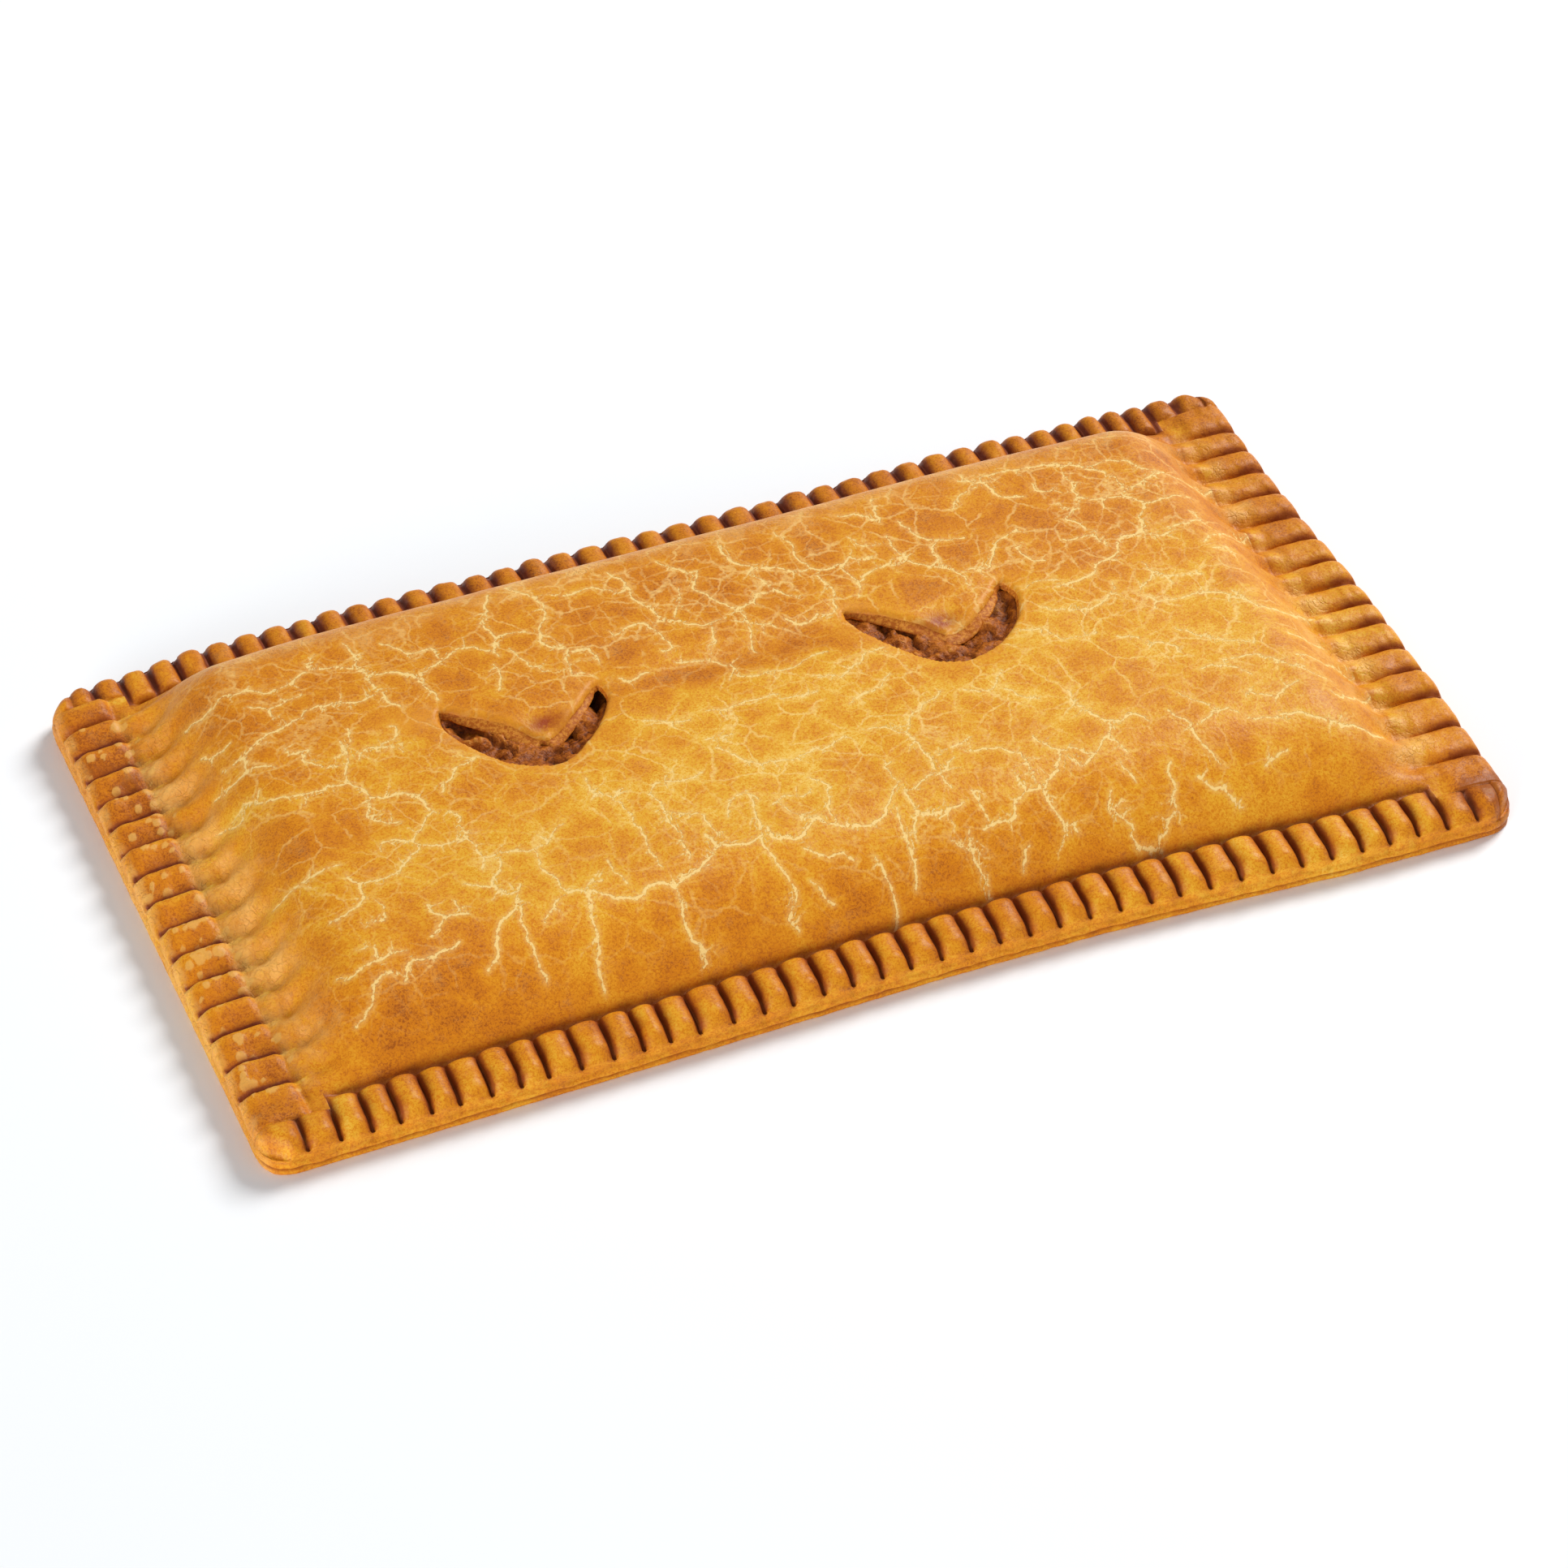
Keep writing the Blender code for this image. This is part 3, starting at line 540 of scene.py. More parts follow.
# %% The large cracks: a width, then the line's points
CRACKS = (  # width, then x and y of each point in turn; all in tenths of a millimetre
    (5, -1087, -152, -1058, -147, -1026, -148, -999, -150, -960, -151),
    (6, -952, -176, -948, -201, -933, -218, -945, -250, -960, -267, -990, -279, -1026, -285),
    (6, -933, -218, -901, -215, -861, -214, -831, -193, -802, -174, -797, -159, -757, -174),
    (5, -871, -143, -861, -123, -831, -123, -807, -139, -797, -159),
    (4, -807, -139, -772, -105, -742, -80),
    (5, -752, -174, -707, -165, -697, -205, -700, -239, -717, -264),
    (4, -712, -86, -702, -126, -704, -165),
    (5, -700, -239, -652, -240, -612, -255, -572, -251, -543, -222, -523, -207),
    (5, -672, -255, -687, -294, -701, -313, -701, -343),
    (5, -751, -298, -716, -318, -696, -348, -676, -355, -662, -331),
    (9, -683, -368, -698, -394, -723, -409, -740, -438, -755, -471, -765, -481, -779, -490),
    (6, -676, -355, -681, -382, -689, -418, -694, -457, -686, -491, -682, -521, -685, -532),
    (6, -605, -255, -602, -315, -597, -354, -581, -388, -551, -388, -538, -402),
    (8, -538, -402, -554, -427, -563, -450, -561, -478, -572, -503, -581, -524, -580, -548, -584, -568),
    (9, -538, -402, -510, -419, -468, -437, -435, -424, -409, -428, -383, -436, -335, -418, -311, -403,
     -282, -383),
    (8, -393, -442, -385, -475, -396, -497, -394, -530, -376, -543, -373, -563),
    (4, -489, -335, -482, -374, -466, -403),
    (4, -405, -208, -393, -277, -397, -346, -388, -394),
    (5, -403, -208, -419, -173, -444, -148, -439, -99),
    (5, -410, -184, -384, -159),
    (7, -601, -393, -630, -414, -648, -435),
    (4, -551, -388, -532, -376, -509, -382),
    (6, -808, -423, -837, -433, -876, -441, -916, -438, -929, -452, -941, -469),
    (6, -949, -451, -975, -448, -1001, -468, -1016, -486, -1039, -504, -1056, -503),
    (5, -1050, -406, -1033, -422, -997, -414, -948, -411, -914, -407),
    (5, -978, -413, -969, -379, -999, -373),
    (6, -841, -321, -830, -351, -815, -363, -781, -362, -776, -367),
    (5, -786, -327, -788, -362),
    (5, -815, -363, -840, -376, -860, -394),
    (3, -975, -329, -950, -320, -930, -330, -915, -300, -930, -261),
    (5, -341, -199, -314, -169, -254, -182, -224, -180),
    (4, -341, -194, -333, -238, -338, -277, -323, -322, -337, -385),
    (4, -333, -253, -293, -268, -273, -283, -268, -317, -263, -346),
    (9, -288, -337, -280, -376, -252, -385, -212, -385, -189, -376),
    (5, -226, -307, -208, -273, -184, -259, -164, -264, -153, -288),
    (5, -169, -268, -173, -317, -176, -356, -192, -390),
    (8, -192, -395, -183, -421, -181, -452, -170, -482, -163, -498, -178, -514, -192, -530, -186, -551),
    (8, -168, -362, -164, -395, -125, -411, -92, -390, -76, -376, -46, -406, -22, -416, 18, -416, 47, -411,
     80, -379, 111, -337),
    (6, -40, -406, -41, -363, -27, -318, -18, -301, -37, -262),
    (7, 83, -395, 79, -443, 75, -479, 77, -510, 62, -537),
    (5, 0, -473, 13, -498, 16, -521, 18, -543),
    (8, 18, -543, 12, -564, 8, -578),
    (9, 120, -421, 131, -435, 171, -434, 210, -429),
    (5, 117, -366, 121, -395, 120, -421, 103, -452, 83, -450),
    (5, 112, -337, 107, -293, 132, -283),
    (5, 160, -486, 183, -504, 194, -516, 196, -538, 203, -548, 203, -578),
    (5, 209, -479, 199, -498, 193, -513),
    (5, 231, -490, 269, -479, 297, -483, 305, -459, 333, -444, 342, -436),
    (6, 267, -312, 297, -317, 337, -322, 358, -346, 373, -360, 369, -403, 368, -444),
    (9, 329, -403, 341, -432, 363, -444, 374, -451, 373, -472),
    (7, 373, -472, 384, -498, 383, -527),
    (6, 384, -501, 412, -532),
    (7, 374, -451, 391, -428, 419, -412, 438, -375, 458, -375, 483, -389, 509, -402),
    (5, 402, -316, 423, -345, 438, -375),
    (6, 449, -398, 465, -424, 489, -407, 509, -402),
    (6, 504, -478, 490, -501, 506, -521, 518, -543),
    (4, -138, -313, -103, -298, -63, -303, -43, -293),
    (5, -118, -318, -103, -357, -81, -376),
    (5, -179, -120, -149, -160, -124, -190, -104, -200, -54, -203, -4, -195, 36, -193, 71, -180),
    (5, 116, -175, 146, -190, 181, -219, 194, -259, 197, -347, 208, -385),
    (4, 186, -209, 216, -170, 276, -145, 306, -130),
    (5, 217, -296, 257, -293, 297, -281),
    (5, 137, -376, 157, -356, 182, -347, 197, -352, 222, -322, 242, -317),
    (4, 336, -139, 361, -164, 391, -167, 416, -139, 436, -119),
    (4, 416, -169, 427, -203, 462, -227),
    (4, 284, -558, 296, -538, 312, -527),
    (5, 507, -553, 513, -566, 541, -573, 572, -585),
    (4, 238, -404, 244, -437, 244, -466),
    (5, -119, -437, -86, -455, -55, -462, -36, -479),
    (6, -132, -495, -116, -516, -98, -527),
    (6, 527, -217, 520, -251, 533, -286, 558, -315, 561, -344, 538, -374, 514, -398),
    (6, 561, -325, 588, -337, 623, -334, 644, -368),
    (5, 538, -374, 559, -393, 560, -419),
    (5, 541, -427, 542, -450, 554, -478),
    (5, 641, -461, 626, -484, 622, -509, 615, -532, 593, -553, 577, -563),
    (6, 689, -343, 704, -382, 712, -426, 722, -464, 732, -487),
    (6, 730, -396, 769, -381, 800, -378, 820, -400),
    (7, 684, -497, 706, -521, 732, -537, 752, -563),
    (5, 818, -512, 846, -502, 871, -501),
    (8, 831, -417, 863, -429, 908, -429, 934, -440, 968, -462, 1003, -485, 1037, -485, 1063, -490, 1106,
     -475),
    (5, 845, -346, 870, -360, 905, -380, 940, -364, 970, -354),
    (5, 859, -252, 899, -251, 930, -261, 960, -280, 975, -309, 1001, -327, 1024, -350, 1043, -356),
    (5, 799, -253, 829, -252, 854, -267, 874, -281, 890, -311),
    (6, 970, -61, 980, -81, 1001, -118, 1049, -134, 1119, -99, 1157, -85),
    (5, 808, -124, 849, -163, 894, -197, 940, -216),
    (4, 688, -106, 718, -125, 748, -150, 798, -179),
    (6, 1001, -277, 1049, -288, 1097, -275, 1157, -265),
    (5, 1019, -391, 1038, -407, 1080, -388, 1147, -335),
    (5, 1024, -201, 1063, -218, 1119, -193),
    (4, 729, -303, 749, -342, 779, -371),
    (5, -1094, 401, -1073, 396, -1034, 394, -1008, 410, -979, 409, -949, 404, -930, 381, -890, 378, -855,
     400, -825, 410, -790, 399, -761, 389, -741, 373),
    (5, -830, 412, -807, 453),
    (6, -740, 465, -737, 424, -731, 404, -741, 373, -721, 353, -701, 347),
    (6, -721, 353, -729, 327, -721, 292, -717, 261, -700, 235),
    (8, -701, 347, -671, 337, -652, 321, -637, 296, -627, 260, -622, 229),
    (5, -635, 301, -612, 326, -567, 331, -532, 356, -507, 352, -469, 318),
    (5, -671, 434, -651, 408, -616, 382, -581, 377, -572, 356, -567, 330),
    (4, -979, 354, -955, 343, -940, 335, -940, 310, -920, 305),
    (4, -940, 337, -910, 338, -870, 342),
    (5, -880, 299, -851, 305, -821, 296, -791, 292, -761, 282, -731, 287),
    (6, -1066, 237, -1047, 230, -1026, 230, -999, 242, -960, 260, -930, 269, -900, 279, -880, 299),
    (6, -1094, 196, -1073, 190, -1051, 187, -1026, 191, -999, 177, -980, 165),
    (4, -1026, 191, -1028, 228),
    (5, -1094, 306, -1073, 288, -1050, 283, -1030, 282),
    (6, -950, 214, -940, 189, -926, 184, -901, 185),
    (6, -926, 184, -931, 159, -901, 138, -881, 122, -861, 117),
    (4, -816, 212, -828, 187, -828, 172),
    (5, -846, 182, -841, 142, -848, 117, -861, 97, -866, 67),
    (5, -822, 116, -802, 146, -772, 138, -752, 125, -737, 105),
    (5, -772, 140, -732, 150, -725, 180, -737, 191),
    (7, -1062, 129, -1035, 108, -1009, 88, -980, 74, -956, 67, -921, 68, -891, 65, -866, 62, -856, 37,
     -842, 6, -822, -4, -792, -4, -772, -15, -757, -30, -747, -60, -732, -80),
    (4, -1035, 108, -1022, 133),
    (4, -956, 67, -965, 29),
    (5, -1120, 134, -1094, 106, -1073, 90, -1066, 123),
    (5, -842, 4, -861, -43, -856, -63, -832, -72, -807, -81),
    (4, -621, 35, -653, 18, -683, -6, -707, -36),
    (5, -490, 276, -487, 228, -502, 204),
    (6, -422, 496, -451, 437, -467, 396, -457, 360, -467, 324, -471, 304),
    (5, -457, 358, -422, 360, -382, 349),
    (6, -385, 506, -351, 468, -332, 436, -327, 416, -347, 375, -363, 344, -373, 313, -358, 288, -333, 262,
     -293, 262, -289, 211),
    (4, -438, 314, -423, 253, -403, 227, -378, 222),
    (4, -343, 260, -348, 237, -347, 186),
    (5, -302, 441, -262, 431, -217, 436, -192, 415, -177, 400, -152, 395),
    (6, -176, 467, -157, 431, -152, 405, -158, 369, -143, 343, -128, 302, -134, 282),
    (6, -243, 277, -213, 292, -188, 290, -158, 282, -144, 251, -147, 231, -141, 201, -164, 194),
    (5, -134, 282, -104, 282, -89, 256, -64, 238, -34, 236, -9, 241),
    (4, -63, 364, -73, 322, -93, 292),
    (6, -2, 399, -18, 374, -38, 353, -28, 328, -8, 302, -3, 292, 16, 266, 33, 256, 61, 266, 77, 292),
    (4, -66, 462, -42, 425, -22, 405, -2, 399),
    (6, 65, 479, 58, 436, 65, 410, 88, 384, 107, 364, 127, 356, 147, 353, 167, 333, 192, 318),
    (4, 97, 374, 99, 333, 112, 307, 117, 287, 136, 266, 151, 246),
    (5, 189, 457, 203, 415, 198, 384, 195, 354, 207, 333, 227, 308, 252, 300, 277, 303, 292, 328),
    (6, 329, 462, 359, 452, 384, 431, 396, 401),
    (5, 416, 488, 401, 447, 398, 416),
    (4, 323, 390, 321, 359, 342, 339, 367, 339),
    (4, 292, 325, 317, 313, 347, 310),
    (6, 428, 396, 443, 365, 453, 340, 478, 309, 498, 299, 538, 296),
    (5, 398, 360, 392, 324, 397, 293, 407, 258, 437, 232),
    (5, 437, 232, 457, 248, 462, 278, 482, 301),
    (5, 442, 233, 467, 212, 477, 177, 482, 147),
    (5, 212, 292, 216, 267, 226, 241, 211, 211, 206, 191),
    (5, 272, 292, 276, 252, 276, 221, 261, 201),
    (5, 276, 247, 307, 262, 357, 267, 392, 263),
    (7, 101, 191, 117, 168, 137, 163, 156, 176, 196, 181),
    (4, 16, 261, 31, 221, 26, 186, 13, 154, 9, 133),
    (3, -4, 226, 36, 206, 76, 181),
    (7, -274, 143, -249, 134, -213, 137),
    (5, -153, 158, -112, 145, -81, 132, -56, 108, -63, 74, -74, 56),
    (4, -49, 221, -54, 181, -78, 168),
    (4, -53, 62, -4, 50, 26, 43, 56, 51, 77, 62, 136, 65),
    (5, -274, 9, -225, -14, -185, -16),
    (5, -155, -9, -105, -17, -55, -16, -5, -21),
    (4, -5, -31, 35, -38, 75, -38),
    (5, -185, -86, -155, -91, -125, -89),
    (4, 85, -1, 135, -16, 175, 9, 216, 34, 256, 39),
    (4, 115, -96, 155, -81, 195, -71, 225, -41),
    (7, 600, 470, 634, 449, 649, 444, 654, 408, 659, 398, 679, 383, 699, 373),
    (6, 650, 468, 700, 463, 750, 458, 800, 450, 840, 430, 865, 415, 890, 390, 905, 365, 905, 320),
    (4, 865, 417, 921, 421, 961, 401, 971, 381, 970, 361),
    (4, 624, 438, 574, 417, 554, 386),
    (4, 734, 404, 734, 378, 759, 368, 779, 369),
    (5, 810, 399, 820, 369, 802, 348, 814, 318, 834, 308),
    (5, 834, 308, 859, 302, 890, 299, 910, 294, 920, 274, 945, 260, 970, 260, 996, 275, 1024, 274, 1043,
     268),
    (6, 920, 279, 923, 249, 899, 234, 889, 213, 879, 178),
    (5, 905, 309, 940, 320, 975, 341, 1001, 353, 1036, 340, 1098, 350, 1147, 375),
    (7, 808, 156, 829, 170, 859, 180, 879, 178, 909, 158, 950, 164),
    (4, 789, 222, 783, 186, 793, 161),
    (5, 577, 103, 607, 106, 632, 103, 657, 104),
    (7, 652, 78, 698, 84, 728, 85, 753, 115, 778, 126, 803, 136, 808, 156),
    (5, 497, 196, 537, 188, 562, 213, 577, 234, 598, 265, 623, 265, 643, 280),
    (6, 618, 229, 627, 199, 642, 169, 658, 164),
    (4, 718, 210, 758, 204, 783, 211),
    (4, 789, 298, 769, 292, 754, 272, 769, 247, 779, 227),
    (6, 597, 28, 622, 11, 647, -2, 677, -11, 708, -6, 748, 25, 758, 55),
    (5, 798, 6, 828, 36, 849, 52, 869, 37, 894, 22, 929, 13),
    (4, 839, 87, 846, 57),
    (6, 803, -19, 818, -39, 849, -43, 899, -37, 919, -42, 939, -62, 960, -81, 980, -91),
    (5, 990, 110, 1018, 126, 1049, 151, 1097, 169, 1147, 210),
    (4, 1001, 212, 1018, 186, 990, 170, 940, 179),
    (4, 516, -8, 567, -38, 597, -72, 637, -82, 657, -86),
    (4, 1001, 87, 1036, 94, 1029, 60),
)
CRACK_STEP = 0.3
CRACK_WIGGLES = ((4.0, 0.8), (1.7, 0.5), (0.8, 0.2))
TWIG_CHANCE = 0.06  # per step along a crack
TWIG_WIDTH = 0.25
TWIG_TURNS, TWIG_BEND = (0.7, 1.6), 0.7  # radians off the crack, and more at the twig's middle
TWIG_LENGTHS = (1.5, 6.0)


def wiggle(points):
    """Moves points by smooth noise in both directions, so that lines that meet still meet."""
    x, y = points.T
    for layer, (size, amount) in enumerate(CRACK_WIGGLES):
        x = x + amount * relief(points[:, 0], points[:, 1], size, 41 + 9 * layer, 2)
        y = y + amount * relief(points[:, 0], points[:, 1], size, 45 + 9 * layer, 2)
    return np.stack([x, y], -1)


def walk(corners):
    """Points along a line with straight pieces, CRACK_STEP apart."""
    lengths = np.hypot(*np.diff(corners, axis=0).T)
    total = np.concatenate([[0], np.cumsum(lengths)])
    at = np.linspace(0, total[-1], max(2, int(total[-1] / CRACK_STEP) + 1))
    return np.stack([np.interp(at, total, corners[:, 0]), np.interp(at, total, corners[:, 1])], -1)


def crack_points():
    """All points of all cracks and their twigs with the widths there, which taper to the ends."""
    random = np.random.default_rng(23)
    places, widths = [], []
    for width, *numbers in CRACKS:
        line = walk(np.array(numbers).reshape(-1, 2) / 10)
        along = np.linspace(0, 1, len(line))
        places.append(wiggle(line))
        taper = 0.55 + 0.45 * np.sin(np.pi * along) ** 0.5
        widths.append(width / 10 * taper * (1 + 0.35 * relief(*line.T, 4, 61, 2)))
        for k in np.flatnonzero(random.random(len(line) - 1) < TWIG_CHANCE):
            direction = np.arctan2(*(line[k + 1] - line[k])[::-1])
            direction = direction + random.choice((-1, 1)) * random.uniform(*TWIG_TURNS)
            reach = random.uniform(*TWIG_LENGTHS)
            bend = direction + random.uniform(-TWIG_BEND, TWIG_BEND)
            middle = line[k] + 0.5 * reach * np.array([np.cos(direction), np.sin(direction)])
            tip = middle + 0.5 * reach * np.array([np.cos(bend), np.sin(bend)])
            twig = walk(np.array([line[k], middle, tip]))
            places.append(wiggle(twig))
            widths.append(TWIG_WIDTH * np.linspace(1.0, 0.3, len(twig)))
    return np.concatenate(places), np.concatenate(widths)


crack_places, crack_widths = crack_points()
print(len(CRACKS), "large cracks,", len(crack_places), "points along them and their twigs")

# %% [markdown]
# ## The lid
#
# The lid is the part of the upper sheet inside the creases. A fine net of points covers it. Where a net line
# runs close to a vent's outline, its points are moved onto the outline, and the cells inside it are left out.
# So the vents have clean lips and need no Boolean. Walls run down from the lips to the underside, which uses
# the same net near the vents and only every ninth line elsewhere.

# %% The lid's net, fitted to the vents
LID_COLUMNS, LID_ROWS = 387, 204
LID_THICKNESS = 2.4
LIP_RADIUS = 0.75
LIP_SAG, LIP_SAG_REACH = 0.4, 3.5
NEAR_VENT = 14.0  # how far round a vent its distance is worked out
FAR = 99.0  # stands for a distance that isn't worked out
SNAP = 0.71  # net points are moved onto an outline that is this many net steps away at most

lid_p, lid_q = np.meshgrid(
    np.linspace(-CREASE_P, CREASE_P, LID_COLUMNS), np.linspace(-CREASE_Q, CREASE_Q, LID_ROWS), indexing="ij"
)
LID_STEP = lid_p[1, 0] - lid_p[0, 0]
lid_x, lid_y = case_xy(lid_p, lid_q)
net_x, net_y = lid_x.copy(), lid_y.copy()
lid_gap = np.full(lid_p.shape, FAR)
lid_outward = np.zeros(lid_p.shape + (2,))
for outline in OUTLINES.values():
    low, high = outline.min(axis=0) - NEAR_VENT, outline.max(axis=0) + NEAR_VENT
    near = (lid_x > low[0]) & (lid_x < high[0]) & (lid_y > low[1]) & (lid_y < high[1])
    gap, on_x, on_y, outward = outline_gap(lid_x[near], lid_y[near], outline)
    snapped = np.abs(gap) < SNAP * LID_STEP
    gap = np.where(snapped, 0.0, gap)
    closer = gap < lid_gap[near]
    lid_x[near] = np.where(snapped, on_x, lid_x[near])
    lid_y[near] = np.where(snapped, on_y, lid_y[near])
    lid_outward[near] = np.where(closer[:, None], outward, lid_outward[near])
    lid_gap[near] = np.where(closer, gap, lid_gap[near])
lid_p, lid_q = lid_p + lid_x - net_x, lid_q + lid_y - net_y
print("net:", lid_p.shape, "step", round(LID_STEP, 3), "mm, points on the lips:", int((lid_gap == 0).sum()))

# %% Heights of the lid, with round lips
lip_drop = LIP_RADIUS * (1 - quarter(lid_gap / LIP_RADIUS))
lip_drop = lip_drop + LIP_SAG * np.exp(-((lid_gap / LIP_SAG_REACH) ** 2))
lid_z = upper_height(lid_p, lid_q) - lip_drop
under_z = dome_height(lid_p, lid_q) - LID_THICKNESS


def cells_outside(numbers):
    """Quads of a part of the net whose corners all lie outside the vents."""
    quads = grid_faces(numbers)
    gaps = lid_gap.ravel()[quads]
    keep = (gaps >= 0).all(axis=1)
    doubtful = keep & (gaps == 0).all(axis=1)
    middle_x, middle_y = lid_x.ravel()[quads].mean(axis=1), lid_y.ravel()[quads].mean(axis=1)
    for outline in OUTLINES.values():
        inside = outline_gap(middle_x[doubtful], middle_y[doubtful], outline)[0] < 0
        keep[np.flatnonzero(doubtful)[inside]] = False
    return quads[keep]


lid_numbers = np.arange(lid_p.size).reshape(lid_p.shape)
top_quads = cells_outside(lid_numbers)

# %% The underside's lines, the walls of the vents and the skirt
COARSE = 9
VENT_SPANS_P, VENT_SPAN_Q = ((-67, -27), (18, 59)), (-10, 22)
WALL_LEVELS = 8
WALL_ROUGHNESS = 0.2
WALL_LEAN = 2.6  # how far the far walls lean into the vent at their foot


def chosen_lines(lines, spans):
    """Every ninth line and the last, and all lines inside the spans."""
    numbers = np.arange(len(lines))
    keep = (numbers % COARSE == 0) | (numbers == len(lines) - 1)
    for low, high in spans:
        keep |= (lines > low) & (lines < high)
    return numbers[keep]


under_i = chosen_lines(np.linspace(-CREASE_P, CREASE_P, LID_COLUMNS), VENT_SPANS_P)
under_j = chosen_lines(np.linspace(-CREASE_Q, CREASE_Q, LID_ROWS), (VENT_SPAN_Q,))
under_quads = cells_outside(lid_numbers[np.ix_(under_i, under_j)])[:, ::-1]


def open_edges(quads):
    """Edges that belong to one quad only, in that quad's direction."""
    edges = np.concatenate([quads[:, [k, (k + 1) % 4]] for k in range(4)])
    keys, back = edges[:, 0] * lid_p.size + edges[:, 1], edges[:, 1] * lid_p.size + edges[:, 0]
    return edges[~np.isin(keys, back)]


lip_edges = open_edges(top_quads)
lip_edges = lip_edges[(lid_gap.ravel()[lip_edges] == 0).all(axis=1)]
lip_points = np.unique(lip_edges)
print("underside cells:", len(under_quads), "lip edges:", len(lip_edges))

# %% Points of the lid in one list: the top, the walls and the underside
total = lid_p.size
top_points = np.stack([lid_x, lid_y, lid_z], -1).reshape(-1, 3)
under_points = np.stack([lid_x, lid_y, under_z], -1).reshape(-1, 3)
wall_down = np.linspace(0, 1, WALL_LEVELS + 1)[1:-1, None]
lip_top, lip_under = top_points[lip_points], under_points[lip_points]
wall_z = lip_top[:, 2] * (1 - wall_down) + lip_under[:, 2] * wall_down
lip_x, lip_y = lip_top[:, 0] + 0 * wall_down, lip_top[:, 1] + 0 * wall_down
lip_outward = lid_outward.reshape(-1, 2)[lip_points]
centre_line = np.concatenate([through_stations(np.array(rows))[:, :2] for rows in VENTS.values()])
half_width = np.hypot(*(lip_top[:, None, k] - centre_line[:, k] for k in (0, 1))).min(axis=1)
lean = np.minimum(WALL_LEAN, 0.5 * half_width) * (0.25 + 0.75 * smooth(lip_outward[:, 1] * 1.4))
rough = relief(lip_x * 1.3 + lip_y, wall_z * 1.6 + lip_x * 0.3, 1.5, 71, 3)
push = WALL_ROUGHNESS * rough * np.sin(np.pi * wall_down)
push = push - lean * smooth(wall_down * 1.1)
under_points[lip_points, :2] -= lean[:, None] * lip_outward
wall_points = np.stack([lip_x + push * lip_outward[:, 0], lip_y + push * lip_outward[:, 1], wall_z], -1)
all_points = np.concatenate([top_points, under_points, wall_points.reshape(-1, 3)])

lip_place = np.searchsorted(lip_points, lip_edges)
levels = [lip_edges]
levels += [2 * total + k * len(lip_points) + lip_place for k in range(WALL_LEVELS - 1)]
levels += [total + lip_edges]
wall_quads = [np.stack([a[:, 1], a[:, 0], b[:, 0], b[:, 1]], -1) for a, b in zip(levels, levels[1:])]

ring_i, ring_j = round_the_edge(LID_COLUMNS, LID_ROWS)
ring = lid_numbers[ring_i, ring_j]
coarse = np.flatnonzero(np.isin(ring_i, under_i) & np.isin(ring_j, under_j))
stops = np.append(coarse, len(ring))
ring = np.append(ring, ring[0])
skirt = [
    np.concatenate([[total + ring[a], total + ring[b]], ring[a : b + 1][::-1]])[None, :]
    for a, b in zip(stops, stops[1:])
]
lid_faces = [top_quads, total + under_quads, *wall_quads, *skirt]

# %% What the finish needs to know at each point: cracks, tone, marks and vents
CRACK_WINDOW = 6  # net cells round each crack point
CRACK_FADE = 1.9
CRACK_HALO = 2.1
NO_CRACK = 9.0  # stands for an offset to a crack that is out of reach


def nearest_cracks():
    """For each net point the offset to the nearest crack point and the width there. Crack points are taken
    with all the net points round them, sorted so that the closest one is written last."""
    column, row = crack_places[:, 0].copy(), crack_places[:, 1].copy()
    for _ in range(3):
        at_x, at_y = case_xy(column, row)
        column, row = column + crack_places[:, 0] - at_x, row + crack_places[:, 1] - at_y
    i = np.rint((column + CREASE_P) / LID_STEP).astype(int)
    j = np.rint((row + CREASE_Q) / (2 * CREASE_Q / (LID_ROWS - 1))).astype(int)
    window = np.arange(-CRACK_WINDOW, CRACK_WINDOW + 1)
    around_i, around_j = (grid.ravel() for grid in np.meshgrid(window, window, indexing="ij"))
    i, j = i[:, None] + around_i, j[:, None] + around_j
    source = np.repeat(np.arange(len(crack_places)), len(around_i)).reshape(i.shape)
    on_net = (i >= 0) & (i < LID_COLUMNS) & (j >= 0) & (j < LID_ROWS)
    number, source = lid_numbers[i[on_net], j[on_net]], source[on_net]
    offset = crack_places[source] - top_points[number, :2]
    order = np.argsort(-np.hypot(*offset.T))
    nearest = np.full((total, 2), NO_CRACK)
    width = np.zeros(total)
    nearest[number[order]] = offset[order]
    width[number[order]] = crack_widths[source[order]]
    return nearest, width


# The extra brown on the right side is partly browning and partly painted shade.
BROWN_BASE, BROWN_FRONT, BROWN_BACK, BROWN_AND_SHADE_RIGHT, BROWN_DRIFT = 0.4, 0.2, 0.24, 0.13, 0.13
BROWN_HILLS = (  # strength, then x, y, half the width and half the depth
    (-0.2, 8, -14, 75, 17),  # the pale middle
    (0.3, -98, -6, 20, 9), (0.21, -92, -45, 22, 12),  # patches at the left
    # The fold between the vents is browned as painted shade in its valley.
    (0.36, -18, 11, 14, 3.5), (0.216, 6, 11, 14, 4),  # the fold between the vents
    (0.6, 124, -66, 8, 7),  # the right-front corner
)
# Pale dough on the left (partly painted light), the wall and the right, and the back crest's painted sheen.
PALE_LEFT, PALE_WALL, PALE_RIGHT, PAINTED_CREST_SHEEN = 0.52, 0.45, 0.55, 0.42
TONGUE_STAINS = ((-44.8, 9.2, 3.8, 1.8), (38.8, 8.0, 3.4, 1.9))  # juice on the tongues of the vents
LEFT_TIP_GLOW = (-69, 18.5, 6.5, 3.4)
FEWER_CRACKS = ((-18, 11, 14, 4), (8, 11, 14, 5))


